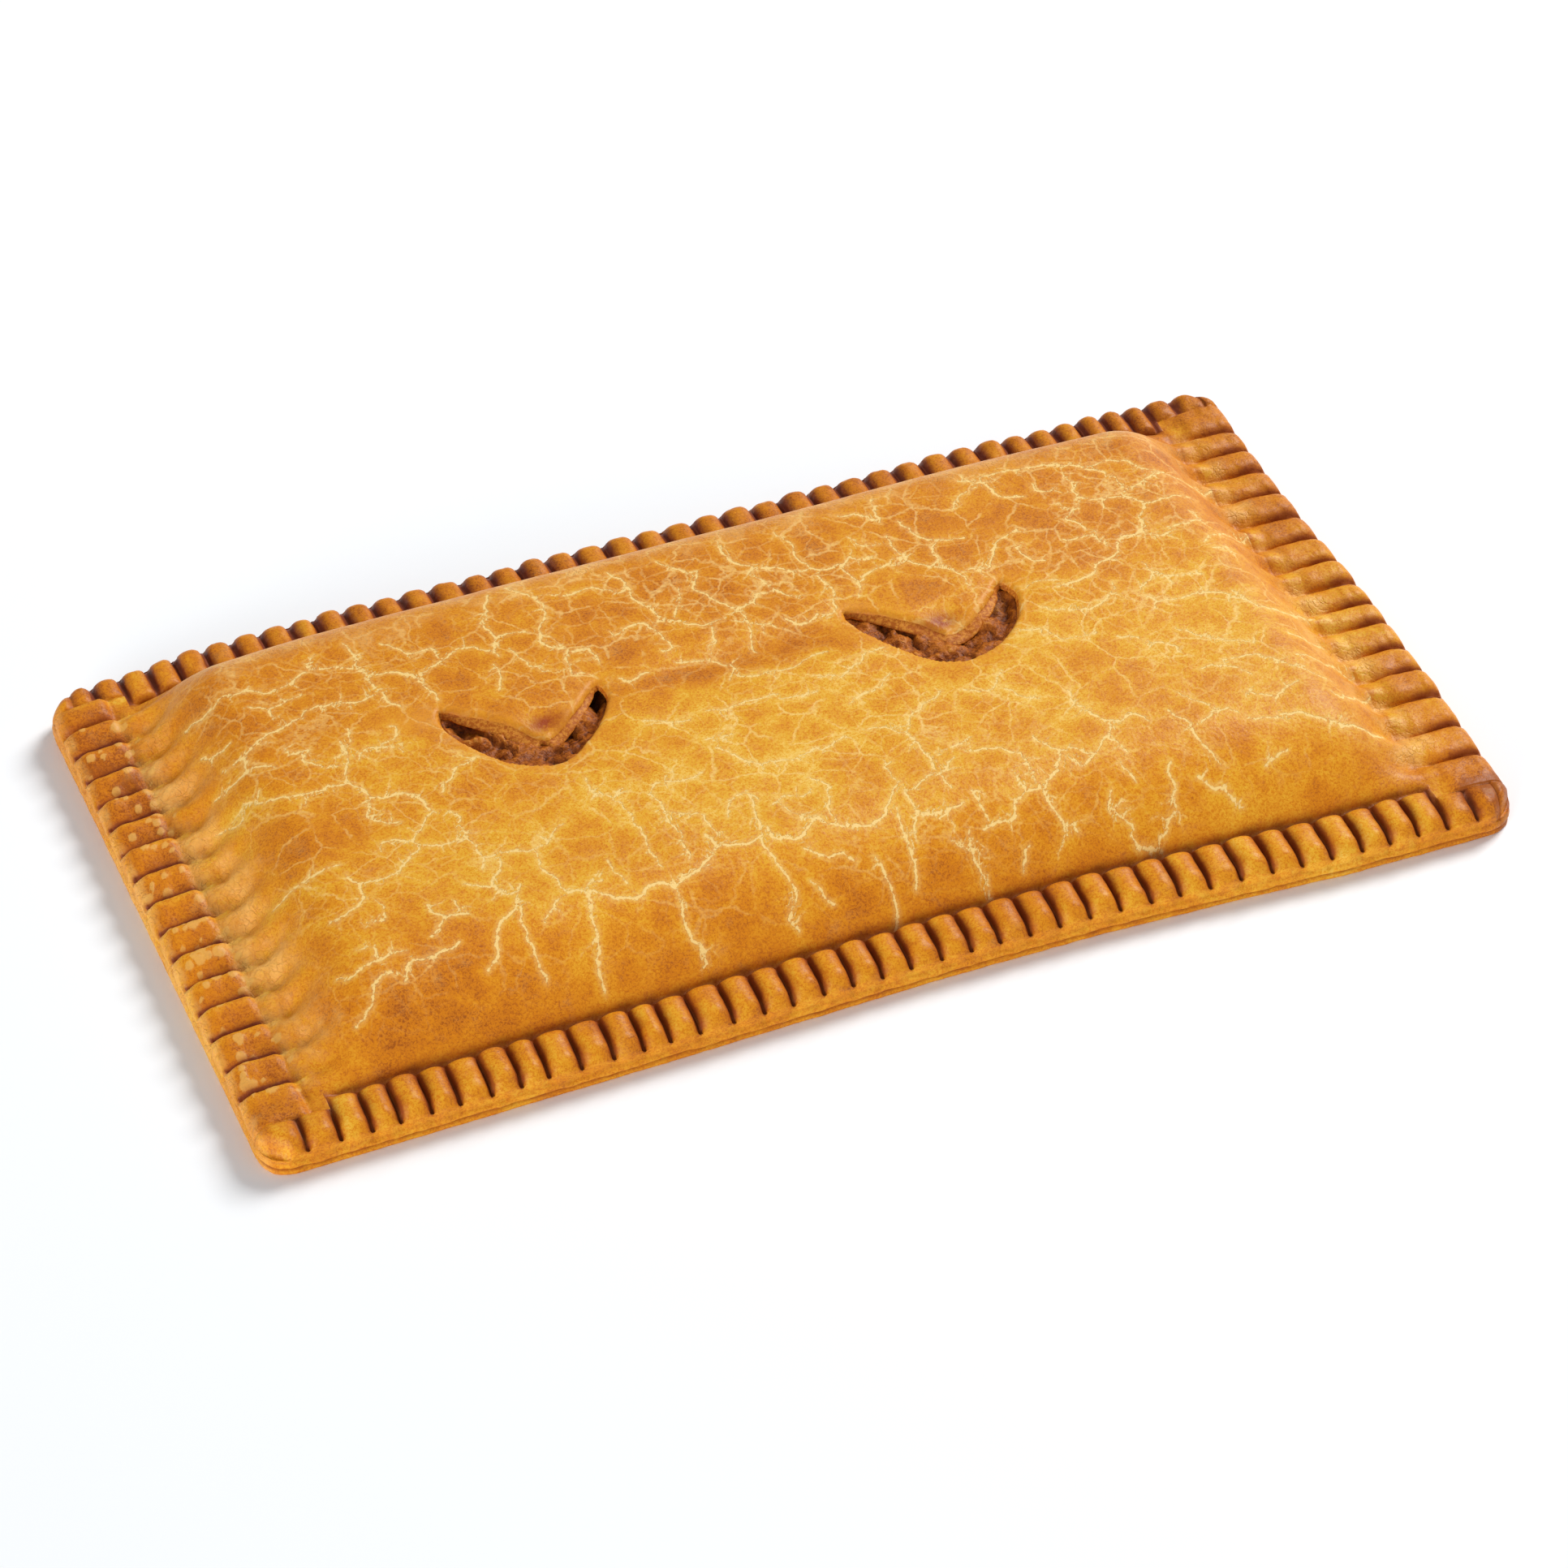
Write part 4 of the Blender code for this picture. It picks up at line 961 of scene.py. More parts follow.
def browning_and_painted_light(x, y):
    """How brown the glaze is, from about 0 on the pale middle to 1: more at the front, back and right, and
    more or less on each hill of the table. Part of it is painted light and shade: the right side's extra
    brown is partly painted shade, the hill in the fold between the vents is painted shade, and the left
    shoulder is a little paler as painted light."""
    front = rise(-y, 34, 20) * (1 - 0.65 * rise(x, 20, 60))
    tone = BROWN_BASE + BROWN_FRONT * front + BROWN_BACK * rise(y, 2, 26) + BROWN_AND_SHADE_RIGHT * rise(x, 92, 18)
    # The left shoulder is kept a little paler: painted light.
    left_shoulder = rise(-x, 100, 8) * rise(x, -118, 4)
    hills = sum(strength * hill(x, y, *place) for strength, *place in BROWN_HILLS)
    return tone + hills - 0.08 * left_shoulder + BROWN_DRIFT * relief(x, y, 16, 81, 3)


def pale_dough_and_painted_light(x, y):
    """Pale dough and painted light: the left shoulder, partly pale dough and partly painted light,
    the left outer wall and patches on the right, and a painted sheen on the back crest.
    """
    uneven = 1 + 0.7 * relief(x, y, 6.5, 141, 3)
    left = PALE_LEFT * rise(x + 1.4 * uneven, -119.6, 3) * rise(-x, 104, 11) * rise(-np.abs(y), -60, 14)
    wall = PALE_WALL * rise(-x, 127.4, 1.6)
    right = PALE_RIGHT * rise(x, 104, 8) * rise(-x, -122, 3) * rise(-np.abs(y), -60, 6) * smooth(uneven - 0.5)
    # A painted sheen along the back crest.
    crest = PAINTED_CREST_SHEEN * rise(y - 6 * (uneven - 1), 41, 9) * rise(-y, -61, 7) * rise(-np.abs(x), -112, 8)
    return np.clip(uneven * (left + wall + right + crest), 0, 1)


def vectors(x, *parts):
    """A vector for every point, of parts that are arrays or one number for all points."""
    return np.stack([part + 0 * x for part in parts], -1)


def skin_values(x, y, crack=None, groove=0, blister=0, line=0, glow=0, cut=0, shade=0, dark=0):
    """The five vectors of the crust's finish at each point. Some carry painted light and shade: shade holds
    the bars' painted light and shade and the wall's paleness, dark the groove cores' painted shade, and the
    pale share is partly painted light.
    """
    offset, width = crack or (np.full((len(x), 2), NO_CRACK), 0 * x)
    away = np.hypot(*offset.T)
    speckle = 0.35 + 0.65 * rise(-y, 28, 16) + 0.25 * rise(-x, 60, 30)
    tongue = sum(hill(x, y, *stain) for stain in TONGUE_STAINS)
    glow = np.clip(glow + 0.9 * hill(x, y, *LEFT_TIP_GLOW), 0, 1)
    from_crease = np.minimum(CREASE_P - np.abs(x), CREASE_Q - np.abs(y))
    net = rise(from_crease, 3, 9) * (0.7 + 0.3 * rise(x, -62, 30)) * (1 - 0.5 * rise(-y, 22, 8))
    net = net * (1 - 0.6 * np.clip(sum(hill(x, y, *place) for place in FEWER_CRACKS), 0, 1))
    return {
        "dough": vectors(x, net, pale_dough_and_painted_light(x, y), dark),
        "crack": vectors(x, *offset.T, width * np.clip(1 - away / CRACK_FADE, 0, 1)),
        "tone": vectors(x, np.exp(-((away / CRACK_HALO) ** 2)), browning_and_painted_light(x, y) + shade, speckle),
        "mark": vectors(x, groove, blister, line),
        "vent": vectors(x, glow, cut, tongue),
    }


def joined(*values):
    """Tables of vectors of several surfaces, one after the other."""
    return {key: np.concatenate([value[key] for value in values]) for key in values[0]}


# %% Make the lid
CREASE_LINE, LIP_GLOW = 0.85, 1.9  # half widths: the brown line in the creases, the glow round the vents
lid_line = np.exp(-(((np.abs(lid_q) - CREASE_Q) / CREASE_LINE) ** 2)).ravel()
lip_glow = np.exp(-((lid_gap / LIP_GLOW) ** 2)).ravel()
lid_values = joined(
    skin_values(*top_points[:, :2].T, nearest_cracks(), line=lid_line, glow=lip_glow),
    skin_values(*top_points[:, :2].T, cut=1),
    skin_values(*wall_points.reshape(-1, 3)[:, :2].T, cut=1),
)
used, lid_corners = np.unique(np.concatenate([rows.ravel() for rows in lid_faces]), return_inverse=True)
splits = np.cumsum([rows.size for rows in lid_faces])[:-1]
lid_faces = [part.reshape(rows.shape) for part, rows in zip(np.split(lid_corners.ravel(), splits), lid_faces)]
lid_values = {key: vectors_there[used] for key, vectors_there in lid_values.items()}
CENTRE = np.array([CENTRE_X, CENTRE_Y, 0])
lid = add_piece("crust_lid", all_points[used] - CENTRE, lid_faces, lid_values)

# %% [markdown]
# The lid ends at the creases, where the rim goes on. So that no seam shows there, the lid's border gets the
# normals of the whole upper surface, lid and rim together, by small steps along and across it.

# %% Normals along the lid's border
NORMAL_STEP = 0.3


def surface_normal(p, q):
    """Cross product of the surface's two slopes, taken over a small step to either side."""
    def point(a, b):
        return np.stack([*case_xy(a, b), upper_height(a, b)], -1)

    along = point(p + NORMAL_STEP, q) - point(p - NORMAL_STEP, q)
    across = point(p, q + NORMAL_STEP) - point(p, q - NORMAL_STEP)
    normal = np.cross(along, across)
    return normal / np.linalg.norm(normal, axis=1, keepdims=True)


def set_border_normals(piece, faces, border, normals, upper_faces):
    """Replaces the corner normals of the first upper_faces faces where a corner lies on the border."""
    mesh = piece.data
    corner_normals = np.empty((len(mesh.loops), 3), np.float32)
    mesh.corner_normals.foreach_get("vector", corner_normals.ravel())
    corners = faces[0].ravel()[: upper_faces * 4]
    lookup = np.full(len(mesh.vertices), -1)
    lookup[border] = np.arange(len(border))
    chosen = np.flatnonzero(lookup[corners] >= 0)
    corner_normals[chosen] = normals[lookup[corners[chosen]]]
    mesh.normals_split_custom_set(corner_normals)
    return len(chosen)


border_numbers = lid_numbers[round_the_edge(LID_COLUMNS, LID_ROWS)]
border_normals = surface_normal(lid_p.ravel()[border_numbers], lid_q.ravel()[border_numbers])
border = np.searchsorted(used, border_numbers)
print("border corners:", set_border_normals(lid, lid_faces, border, border_normals, len(top_quads)))

# %% [markdown]
# ## The rim and the base
#
# The rim is a net too, but its lines follow the bars: they crowd together at each groove and thin out over a
# crest. The front and back strips span the whole length with their own bars' lines, and the left and right
# strips lie between them. In the corners all strips share one set of lines, so that everything joins into one
# closed body: strips, outer wall, underside, and the pocket that the filling lies in. Inside the crease the
# net goes on a little way, just under the lid.

# %% Lines of the rim's net
LONG_DENSITY, SHORT_DENSITY = 2.5, 2.35  # lines per millimetre of a bar
LONG_COUNTS, END_COUNTS, OUTER_COUNT = (9, 8, 8, 4), (4, 32), 11  # lines between the stops inward
UNDER_LID = 1.2
SUNK_SOON, SUNK_AT_LAST = 0.03, 0.45
BORDER_P, BORDER_Q = LENGTH / 2 - WALL_INSET, WIDTH / 2 - WALL_INSET
HIDDEN_P, HIDDEN_Q = CREASE_P - UNDER_LID, CREASE_Q - UNDER_LID


def crowded(stops, counts):
    """Places between stops, crowded at every stop, as a cosine does."""
    parts = []
    for start, end, count in zip(stops, stops[1:], counts):
        parts.append(start + (end - start) * (1 - np.cos(np.pi * np.arange(count) / count)) / 2)
    return np.concatenate([*parts, stops[-1:]])


def bar_lines(side, end, density):
    """Lines across the bars of a side, between two ends, crowded at its grooves."""
    grooves = np.array(GROOVES[side])
    stops = np.concatenate([[-end], grooves[np.abs(grooves) < end - 0.8], [end]])
    return crowded(stops, [max(4, round(density * width)) for width in np.diff(stops)])


def corner_lines(sign):
    """Lines from the border to the hidden edge of a short side, with one on each corner groove."""
    lines = np.concatenate([crowded([HIDDEN_P, CREASE_P, BORDER_P - BAR_END], END_COUNTS)[:-1],
                            crowded([BORDER_P - BAR_END, BORDER_P], [OUTER_COUNT])])
    for side in ("front", "back"):
        for groove in sign * np.array(GROOVES[side]):
            if groove > HIDDEN_P:
                lines[np.abs(lines - groove).argmin()] = groove
    return sign * lines[::sign]


left_lines, right_lines = corner_lines(-1), corner_lines(1)
inward_stops = np.array([0, BAR_END, CORNER_RIM - WALL_INSET, LONG_RIM - WALL_INSET, BORDER_Q - HIDDEN_Q])
long_rows = BORDER_Q - crowded(inward_stops, LONG_COUNTS)
strips = [
    ([left_lines[:-1], bar_lines(side, HIDDEN_P, LONG_DENSITY), right_lines[1:]], rows)
    for side, rows in (("front", -long_rows), ("back", long_rows[::-1]))
] + [
    ([lines], bar_lines(side, HIDDEN_Q, SHORT_DENSITY))
    for side, lines in (("left", left_lines), ("right", right_lines))
]

# %% The strips, joined where they meet
strip_points, strip_quads, count = [], [], 0
for columns, rows in strips:
    p, q = np.meshgrid(np.concatenate(columns), rows, indexing="ij")
    strip_points.append(np.stack([p, q], -1).reshape(-1, 2))
    strip_quads.append(grid_faces(count + np.arange(p.size).reshape(p.shape)))
    count += p.size
keys = np.rint(np.concatenate(strip_points) * 1e4).astype(np.int64)
_, first, merged = np.unique(keys, axis=0, return_index=True, return_inverse=True)
rim_p, rim_q = np.concatenate(strip_points)[first].T
rim_quads = merged.ravel()[np.concatenate(strip_quads)]
inside_crease = np.minimum(CREASE_P - np.abs(rim_p), CREASE_Q - np.abs(rim_q))
sunk = SUNK_SOON + (SUNK_AT_LAST - SUNK_SOON) * np.clip(inside_crease / UNDER_LID, 0, 1)
rim_z = upper_height(rim_p, rim_q) - np.where(inside_crease > 1e-6, sunk, 0)
print("strips:", len(rim_p), "points,", len(rim_quads), "cells")

# %% [markdown]
# On the left side's bars the glaze blistered. Each blister is a low round bump, placed at random on the bars'
# outer two thirds, and the finish makes it paler.

# %% Blisters
BLISTERS = 150
BLISTER_RADII = (0.5, 1.5)
BLISTER_RISE = 0.2
BLISTER_BAND, BLISTER_SPAN = (116.5, 128.2), (-58, 58)
blister_random = np.random.default_rng(37)
blister_p = -blister_random.uniform(*BLISTER_BAND, BLISTERS)
blister_q = blister_random.uniform(*BLISTER_SPAN, BLISTERS)
blister_radius = blister_random.uniform(*BLISTER_RADII, BLISTERS) * blister_random.uniform(0.6, 1, BLISTERS)
on_left = rim_p < -CREASE_P
blister = np.zeros(len(rim_p))
reach = np.hypot(rim_p[on_left, None] - blister_p, rim_q[on_left, None] - blister_q) / blister_radius
blister[on_left] = np.clip(1 - reach**2, 0, 1).max(axis=1)
rim_z = rim_z + BLISTER_RISE * np.sqrt(blister)

# %% [markdown]
# The outer wall falls from the bars' round ends to the board. It bulges a little, the seam between the two
# sheets is a ragged dark line about a sixth of the way up, and the base's edge draws in at its foot.

# %% The wall's levels, the pocket and the underside
BAR_LEVELS = (0.4, 0.75)  # shares of the way from the bars' tops to the neck
SEAM_Z, SEAM_WANDER = 1.5, 0.4
SEAM_INSET, SEAM_LIP = 0.7, 0.3
NECK_Z, NECK_INSET, NECK_WANDER = 3.3, 0.34, 0.45  # where the bars' ends meet the band below them
BAND_LEVELS = ((0.2, 0.2), (0.45, 0.05), (0.7, 0.0), (0.9, 0.1), (1.0, 0.3))  # from the neck to the seam
FOOT_LEVELS = ((0.85, 0.3), (0.4, 0.3), (0.12, 0.5), (0.0, 0.85))
GROOVE_INDENT = {"front": 0.4, "back": 0.55, "left": 0.6, "right": 0.7}
INDENT_WIDTH = 1.3
WALL_WANDER = 0.24
LINE_HEIGHT, NECK_LINE, WALL_SHADE = 0.3, 0.2, -0.14  # the brown lines in the wall, and how pale the wall is
POCKET_P, POCKET_Q, POCKET_CORNER, POCKET_FLOOR = 112.0, 57.0, 9.0, 3.2
POCKET_TOP_DROP = 1.8


def ring_of(p, q, half_p, half_q):
    """Numbers of the points on a rectangle's sides, counter-clockwise."""
    on_side = np.maximum(np.abs(p) / half_p, np.abs(q) / half_q)
    on_ring = np.flatnonzero(np.abs(on_side - 1) < 1e-7)
    return on_ring[np.argsort(np.arctan2(q[on_ring] / half_q, p[on_ring] / half_p))]


outer = ring_of(rim_p, rim_q, BORDER_P, BORDER_Q)
inner = ring_of(rim_p, rim_q, HIDDEN_P, HIDDEN_Q)
outer_p, outer_q, outer_z = rim_p[outer], rim_q[outer], rim_z[outer]
outer_away = of_side(outer_p, outer_q, groove_distance)
seam_z = SEAM_Z + SEAM_WANDER * relief(outer_p, outer_q, 4.2, 91, 3)
seam_depth = SEAM_INSET * (1 + 0.5 * relief(outer_p, outer_q, 2.3, 97, 2))
indent = of_side(outer_p, outer_q, lambda side, along, inward: GROOVE_INDENT[side] + 0 * along)
indent = indent * np.exp(-((outer_away / INDENT_WIDTH) ** 2))
neck_z = NECK_Z + NECK_WANDER * relief(outer_p, outer_q, 3.1, 93, 2)
neck_inset = NECK_INSET * (1 + 0.4 * relief(outer_p, outer_q, 2.6, 95, 2))
wall_rows = []  # each level: inset from the case's outline, height, and how far down the wall from 0 to 1
for down in BAR_LEVELS:
    inset = WALL_INSET + indent * (1 - 0.5 * down) + 0.1 * down
    wall_rows.append((inset, outer_z + (neck_z - outer_z) * down, 0.3 * down))
wall_rows.append((neck_inset, neck_z, 0.35))
for down, inset in BAND_LEVELS:
    wall_rows.append((inset + 0 * neck_z, neck_z + (seam_z + SEAM_LIP - neck_z) * down, 0.4 + 0.55 * down))
wall_rows.append((seam_depth, seam_z, 1.0))
for height, inset in FOOT_LEVELS:
    wall_rows.append((inset + 0 * neck_z, np.full(len(outer), height), 1.0))
wall_p = np.stack([outer_p] * len(wall_rows))
wall_q = np.stack([outer_q] * len(wall_rows))
wall_inset = np.stack([inset for inset, _, _ in wall_rows]) - WALL_INSET
wall_z = np.stack([height for _, height, _ in wall_rows])
wander = WALL_WANDER * relief(outer_p + wall_z, outer_q + 1.3 * wall_z, 2.6, 101, 3)
wander = wander * np.array([1.0 if down < 1 else 0.6 for _, _, down in wall_rows])[:, None]
wall_x, wall_y = case_xy(wall_p, wall_q, wall_inset - wander)

inner_p, inner_q = rim_p[inner], rim_q[inner]
pocket_xy = baked(*round_corner(inner_p * POCKET_P / HIDDEN_P, inner_q * POCKET_Q / HIDDEN_Q,
                                POCKET_P, POCKET_Q, POCKET_CORNER))
pocket_z = rim_z[inner] - POCKET_TOP_DROP

# %% Make the rim
top_xyz = np.stack([*case_xy(rim_p, rim_q), rim_z], -1)
wall_xyz = np.stack([wall_x, wall_y, wall_z], -1).reshape(-1, 3)
pocket_xyz = np.concatenate([np.stack([*pocket_xy, pocket_z], -1),
                             np.stack([*pocket_xy, np.full(len(inner), POCKET_FLOOR)], -1)])
wall_start, pocket_start = len(top_xyz), len(top_xyz) + len(wall_xyz)
rings = [outer] + [wall_start + k * len(outer) + np.arange(len(outer)) for k in range(len(wall_rows))]
pocket_rings = [inner] + [pocket_start + k * len(inner) + np.arange(len(inner)) for k in (0, 1)]
rim_faces = [rim_quads]
rim_faces += [band(lower, upper) for upper, lower in zip(rings, rings[1:])]
rim_faces += [band(lower, upper) for lower, upper in zip(pocket_rings, pocket_rings[1:])]
rim_faces += [rings[-1][::-1][None, :], pocket_rings[-1][None, :]]

# The grooves' brown is partly scorched sugar and partly painted shade; darkness is the dark core's painted
# shade.
GROOVE_MARKS = {  # place across, width, strength; start, length and rest of the fade; outer start; darkness
    "front": (0.0, 1.05, 1.3, 8.5, 3.0, 0.9, 0.9, 0.5),
    "back": (0.0, 1.0, 1.6, 7.0, 3.5, 0.6, 0.2, 0.8),
    "left": (0.6, 0.95, 1.3, 9.5, 3.5, 0.05, 0.8, 0.8),
    "right": (0.3, 0.9, 1.25, 4.5, 5.5, 0.06, 0.5, 0.25),
}


def groove_mark(p, q):
    """How brown the grooves are, partly from scorched sugar and partly painted shade, fading towards the
    dome, and how strong the painted shade of their dark core is on each side.
    """
    uneven = 1 + 0.35 * relief(p, q, 3.0, 111, 2)

    def burnt_and_shaded(side, along, inward):
        centre, spread, strength, start, length, rest, stop, _ = GROOVE_MARKS[side]
        _, t, width = bar_place(side, along)
        across = pick(t < 0.5, t, t - 1) * width - centre
        fade = (1 - (1 - rest) * rise(inward, start, length)) * rise(inward, stop - 1, 1.6)
        fade = fade * (1 - shallow_end(side, along))
        return strength * fade * np.exp(-((across / (spread * uneven)) ** 2))

    darkness = of_side(p, q, lambda side, along, inward: GROOVE_MARKS[side][-1] + 0 * along)
    return np.clip(of_side(p, q, burnt_and_shaded), 0, 1), darkness


def bar_shade(side, along, inward):
    """Painted light and shade on the bars, as a change of brown: flanks darker and the leaning bars' faces
    darker as painted shade, and the front bars' right flanks darkest and their left flanks lighter as painted
    light and shade. The leaning bars' outer ends are paler, and the pleats paler as a painted highlight."""
    _, t, _ = bar_place(side, along)
    flank = 1 - np.sin(np.pi * t)
    pleats = 0.34 * rise(inward, 9.5, 4)
    return {
        "left": 0.4 * (1 - rise(t, 0.5, 0.45)) * smooth(inward / 1.8) - 0.1 - pleats,
        "right": 0.14 * flank - 0.1 - pleats * 0.7,
        "back": 0.2 * flank - 0.04,
        "front": 0.6 * t**2 + 0.25 * (1 - smooth(t / 0.25)) - 0.28,
    }[side]


# The bars' painted light and shade, added to their brown tone.
rim_shade = of_side(rim_p, rim_q, bar_shade) * smooth(-inside_crease / 1.5)
crease_line = np.exp(-(((np.abs(rim_q) - CREASE_Q) / CREASE_LINE) ** 2))
crease_line = crease_line * smooth((CREASE_P - np.abs(rim_p)) / CREASE_FADE)
rim_groove, rim_dark = groove_mark(rim_p, rim_q)
down = np.array([level[2] for level in wall_rows])[:, None] + 0 * outer_p
seam_line = np.exp(-(((wall_z - seam_z) / LINE_HEIGHT) ** 2))
seam_line = seam_line + NECK_LINE * np.exp(-(((wall_z - neck_z) / LINE_HEIGHT) ** 2))
outer_groove, outer_dark = groove_mark(outer_p, outer_q)
wall_groove = outer_groove * np.clip(1 - 2 * down, 0, 1)
wall_dark = outer_dark + 0 * down
rim_values = joined(
    skin_values(
        *top_xyz[:, :2].T, groove=rim_groove, blister=blister, line=crease_line, shade=rim_shade,
        dark=rim_dark,
    ),
    skin_values(
        *wall_xyz[:, :2].T, groove=wall_groove.ravel(), line=seam_line.ravel(), shade=WALL_SHADE,
        dark=wall_dark.ravel(),
    ),
    skin_values(*pocket_xyz[:, :2].T, cut=1),
)
rim = add_piece("crust_rim", np.concatenate([top_xyz, wall_xyz, pocket_xyz]) - CENTRE, rim_faces, rim_values)

# %% [markdown]
# ## The filling
#
# The filling is a slab of chopped meat that fills the pocket. It only shows in the vents, so its net is fine
# there and coarse elsewhere. Crossed waves keep it inside its CAD solid's form, and ridged noise chops it up.

# %% Make the filling
FILLING_GAP = 0.3
FILLING_FLOOR = 3.5
LUMP_DEPTH = 1.7
LUMP_WAVES = ((0.62, 0.35), (-0.41, 0.78), (0.93, -0.55), (0.23, 1.14))  # radians per mm along p and q
CHOP_SIZE, CHOP_DEPTH, CHOP_LEVEL = 4.4, 2.2, 0.45
SHRED_SIZE, SHRED_DEPTH = 1.3, 0.6
VENT_FILL = 0.8  # how far the filling swells up inside a vent
VENT_EASE, BESIDE_VENT, BESIDE_EASE = 2.2, 0.9, 1.6
CHOP_BEND = 1.1  # how far noise bends the chopped pieces
HOLLOWS = (  # x, y, half the width and half the depth, and how far the filling sinks
    (-32.9, 14.6, 2.2, 3.4, 2.8), (-41.0, 6.6, 2.4, 1.0, 1.0),
    (52.0, 10.0, 2.4, 3.4, 1.2), (-60.5, 15.0, 1.8, 2.6, 0.7),
)
FILL_P, FILL_Q = POCKET_P - FILLING_GAP, POCKET_Q - FILLING_GAP  # half the filling's length and width


def mixed_lines(end, fine_spans, fine_step=0.38, coarse_step=6.0):
    """Lines from -end to end, coarse but for the fine spans."""
    stops = [-end, *(edge for span in fine_spans for edge in span), end]
    steps = [fine_step if k % 2 else coarse_step for k in range(len(stops) - 1)]
    parts = [np.linspace(a, b, round((b - a) / s) + 1)[:-1] for a, b, s in zip(stops, stops[1:], steps)]
    return np.concatenate([*parts, [end]])


fill_p, fill_q = np.meshgrid(
    mixed_lines(FILL_P, VENT_SPANS_P), mixed_lines(FILL_Q, (VENT_SPAN_Q,)), indexing="ij"
)
fill_x, fill_y = baked(*round_corner(fill_p, fill_q, FILL_P, FILL_Q, POCKET_CORNER))
waves = sum(np.sin(a * fill_p + b * fill_q) for a, b in LUMP_WAVES) / len(LUMP_WAVES)
fill_gap = np.full(fill_p.shape, FAR)
for outline in OUTLINES.values():
    low, high = outline.min(axis=0) - NEAR_VENT, outline.max(axis=0) + NEAR_VENT
    near = (fill_x > low[0]) & (fill_x < high[0]) & (fill_y > low[1]) & (fill_y < high[1])
    fill_gap[near] = np.minimum(fill_gap[near], outline_gap(fill_x[near], fill_y[near], outline)[0])
in_vent = smooth(-fill_gap / VENT_EASE)
beside = rise(-fill_gap, -BESIDE_VENT, BESIDE_EASE)
bend_x = fill_x + CHOP_BEND * relief(fill_x, fill_y, 4, 121)
bend_y = fill_y + CHOP_BEND * relief(fill_x, fill_y, 4, 125)
chopped = np.abs(relief(bend_x, bend_y, CHOP_SIZE, 131, 2)) ** 0.7
shredded = np.abs(relief(bend_x * 1.5, bend_y * 0.8, SHRED_SIZE, 135, 3))
lumps = LUMP_DEPTH * (0.5 + 0.5 * waves) * (1 - 0.7 * beside)
fill_z = dome_height(fill_p, fill_q) - LID_THICKNESS - FILLING_GAP - lumps
pieces = CHOP_DEPTH * (chopped - CHOP_LEVEL) - SHRED_DEPTH * (1 - shredded)
fill_z = fill_z + beside * VENT_FILL + in_vent * pieces
for x, y, width, depth, sink in HOLLOWS:
    fill_z = fill_z - sink * hill(fill_x, fill_y, x, y, width, depth)
fill_z = np.maximum(fill_z, FILLING_FLOOR + 0.5)

fill_numbers = np.arange(fill_p.size).reshape(fill_p.shape)
fill_ring = fill_numbers[round_the_edge(*fill_p.shape)]
fill_top = np.stack([fill_x, fill_y, fill_z], -1).reshape(-1, 3)
fill_foot = fill_top[fill_ring] * (1, 1, 0) + (0, 0, FILLING_FLOOR)
foot_ring = fill_p.size + np.arange(len(fill_ring))
fill_faces = [grid_faces(fill_numbers), band(foot_ring, fill_ring), foot_ring[::-1][None, :]]
# Height of the chop: the finish makes lumps lighter and clefts darker, as painted light and shade.
depth_value = np.concatenate([(chopped * 0.7 + shredded * 0.5).ravel(), np.zeros(len(fill_ring))])
# Painted shade in the hollows where the filling sinks.
hollow = sum(hill(fill_x, fill_y, *place[:4]) * min(1, place[4] / 2) for place in HOLLOWS)
hollow = np.concatenate([hollow.ravel(), np.zeros(len(fill_ring))])
filling = add_piece(
    "meat_filling", np.concatenate([fill_top, fill_foot]) - CENTRE, fill_faces,
    {"meat": np.stack([depth_value, hollow, 0 * hollow], -1)},
)

# %% The pieces take the place of their CAD nodes
for piece, node, slot in (
    (rim, "crust", "baked_pastry"), (lid, "crust", "baked_pastry"), (filling, "filling", "moist_filling"),
):
    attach(piece, "root")
    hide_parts(node)

# %% [markdown]
# ## A small language for finishes
#
# Shader graphs read best as sums and products. The class below wraps a node's output so that Python operators
# add Math nodes, and one method makes any other node. Colours are given as screen values from 0 to 255, as a
# colour chart has them, and turned into the light values that the shader wants.

# %% Sockets with arithmetic, and a graph that makes nodes
OBJECT_PLACE, AS_VECTOR, AS_COLOUR = 3, 1, 1  # outputs of the coordinate, attribute and noise nodes
FACTOR, FIRST, SECOND, MIXED = 0, 6, 7, 2  # sockets of a node that mixes colours


class Socket:
    """One output of a node. Arithmetic on it adds Math nodes."""

    def __init__(self, graph, output):
        self.graph, self.output = graph, output

    def combine(self, operation, first, second):
        return self.graph.add("Math", {"operation": operation}, {0: first, 1: second})

    def __add__(self, other):
        return self.combine("ADD", self, other)

    def __sub__(self, other):
        return self.combine("SUBTRACT", self, other)

    def __mul__(self, other):
        return self.combine("MULTIPLY", self, other)

    def __rsub__(self, other):
        return self.combine("SUBTRACT", other, self)

    __radd__, __rmul__ = __add__, __mul__

    def swing(self, size):
        """A noise as a change to either side of nothing."""
        return (self - 0.5) * size


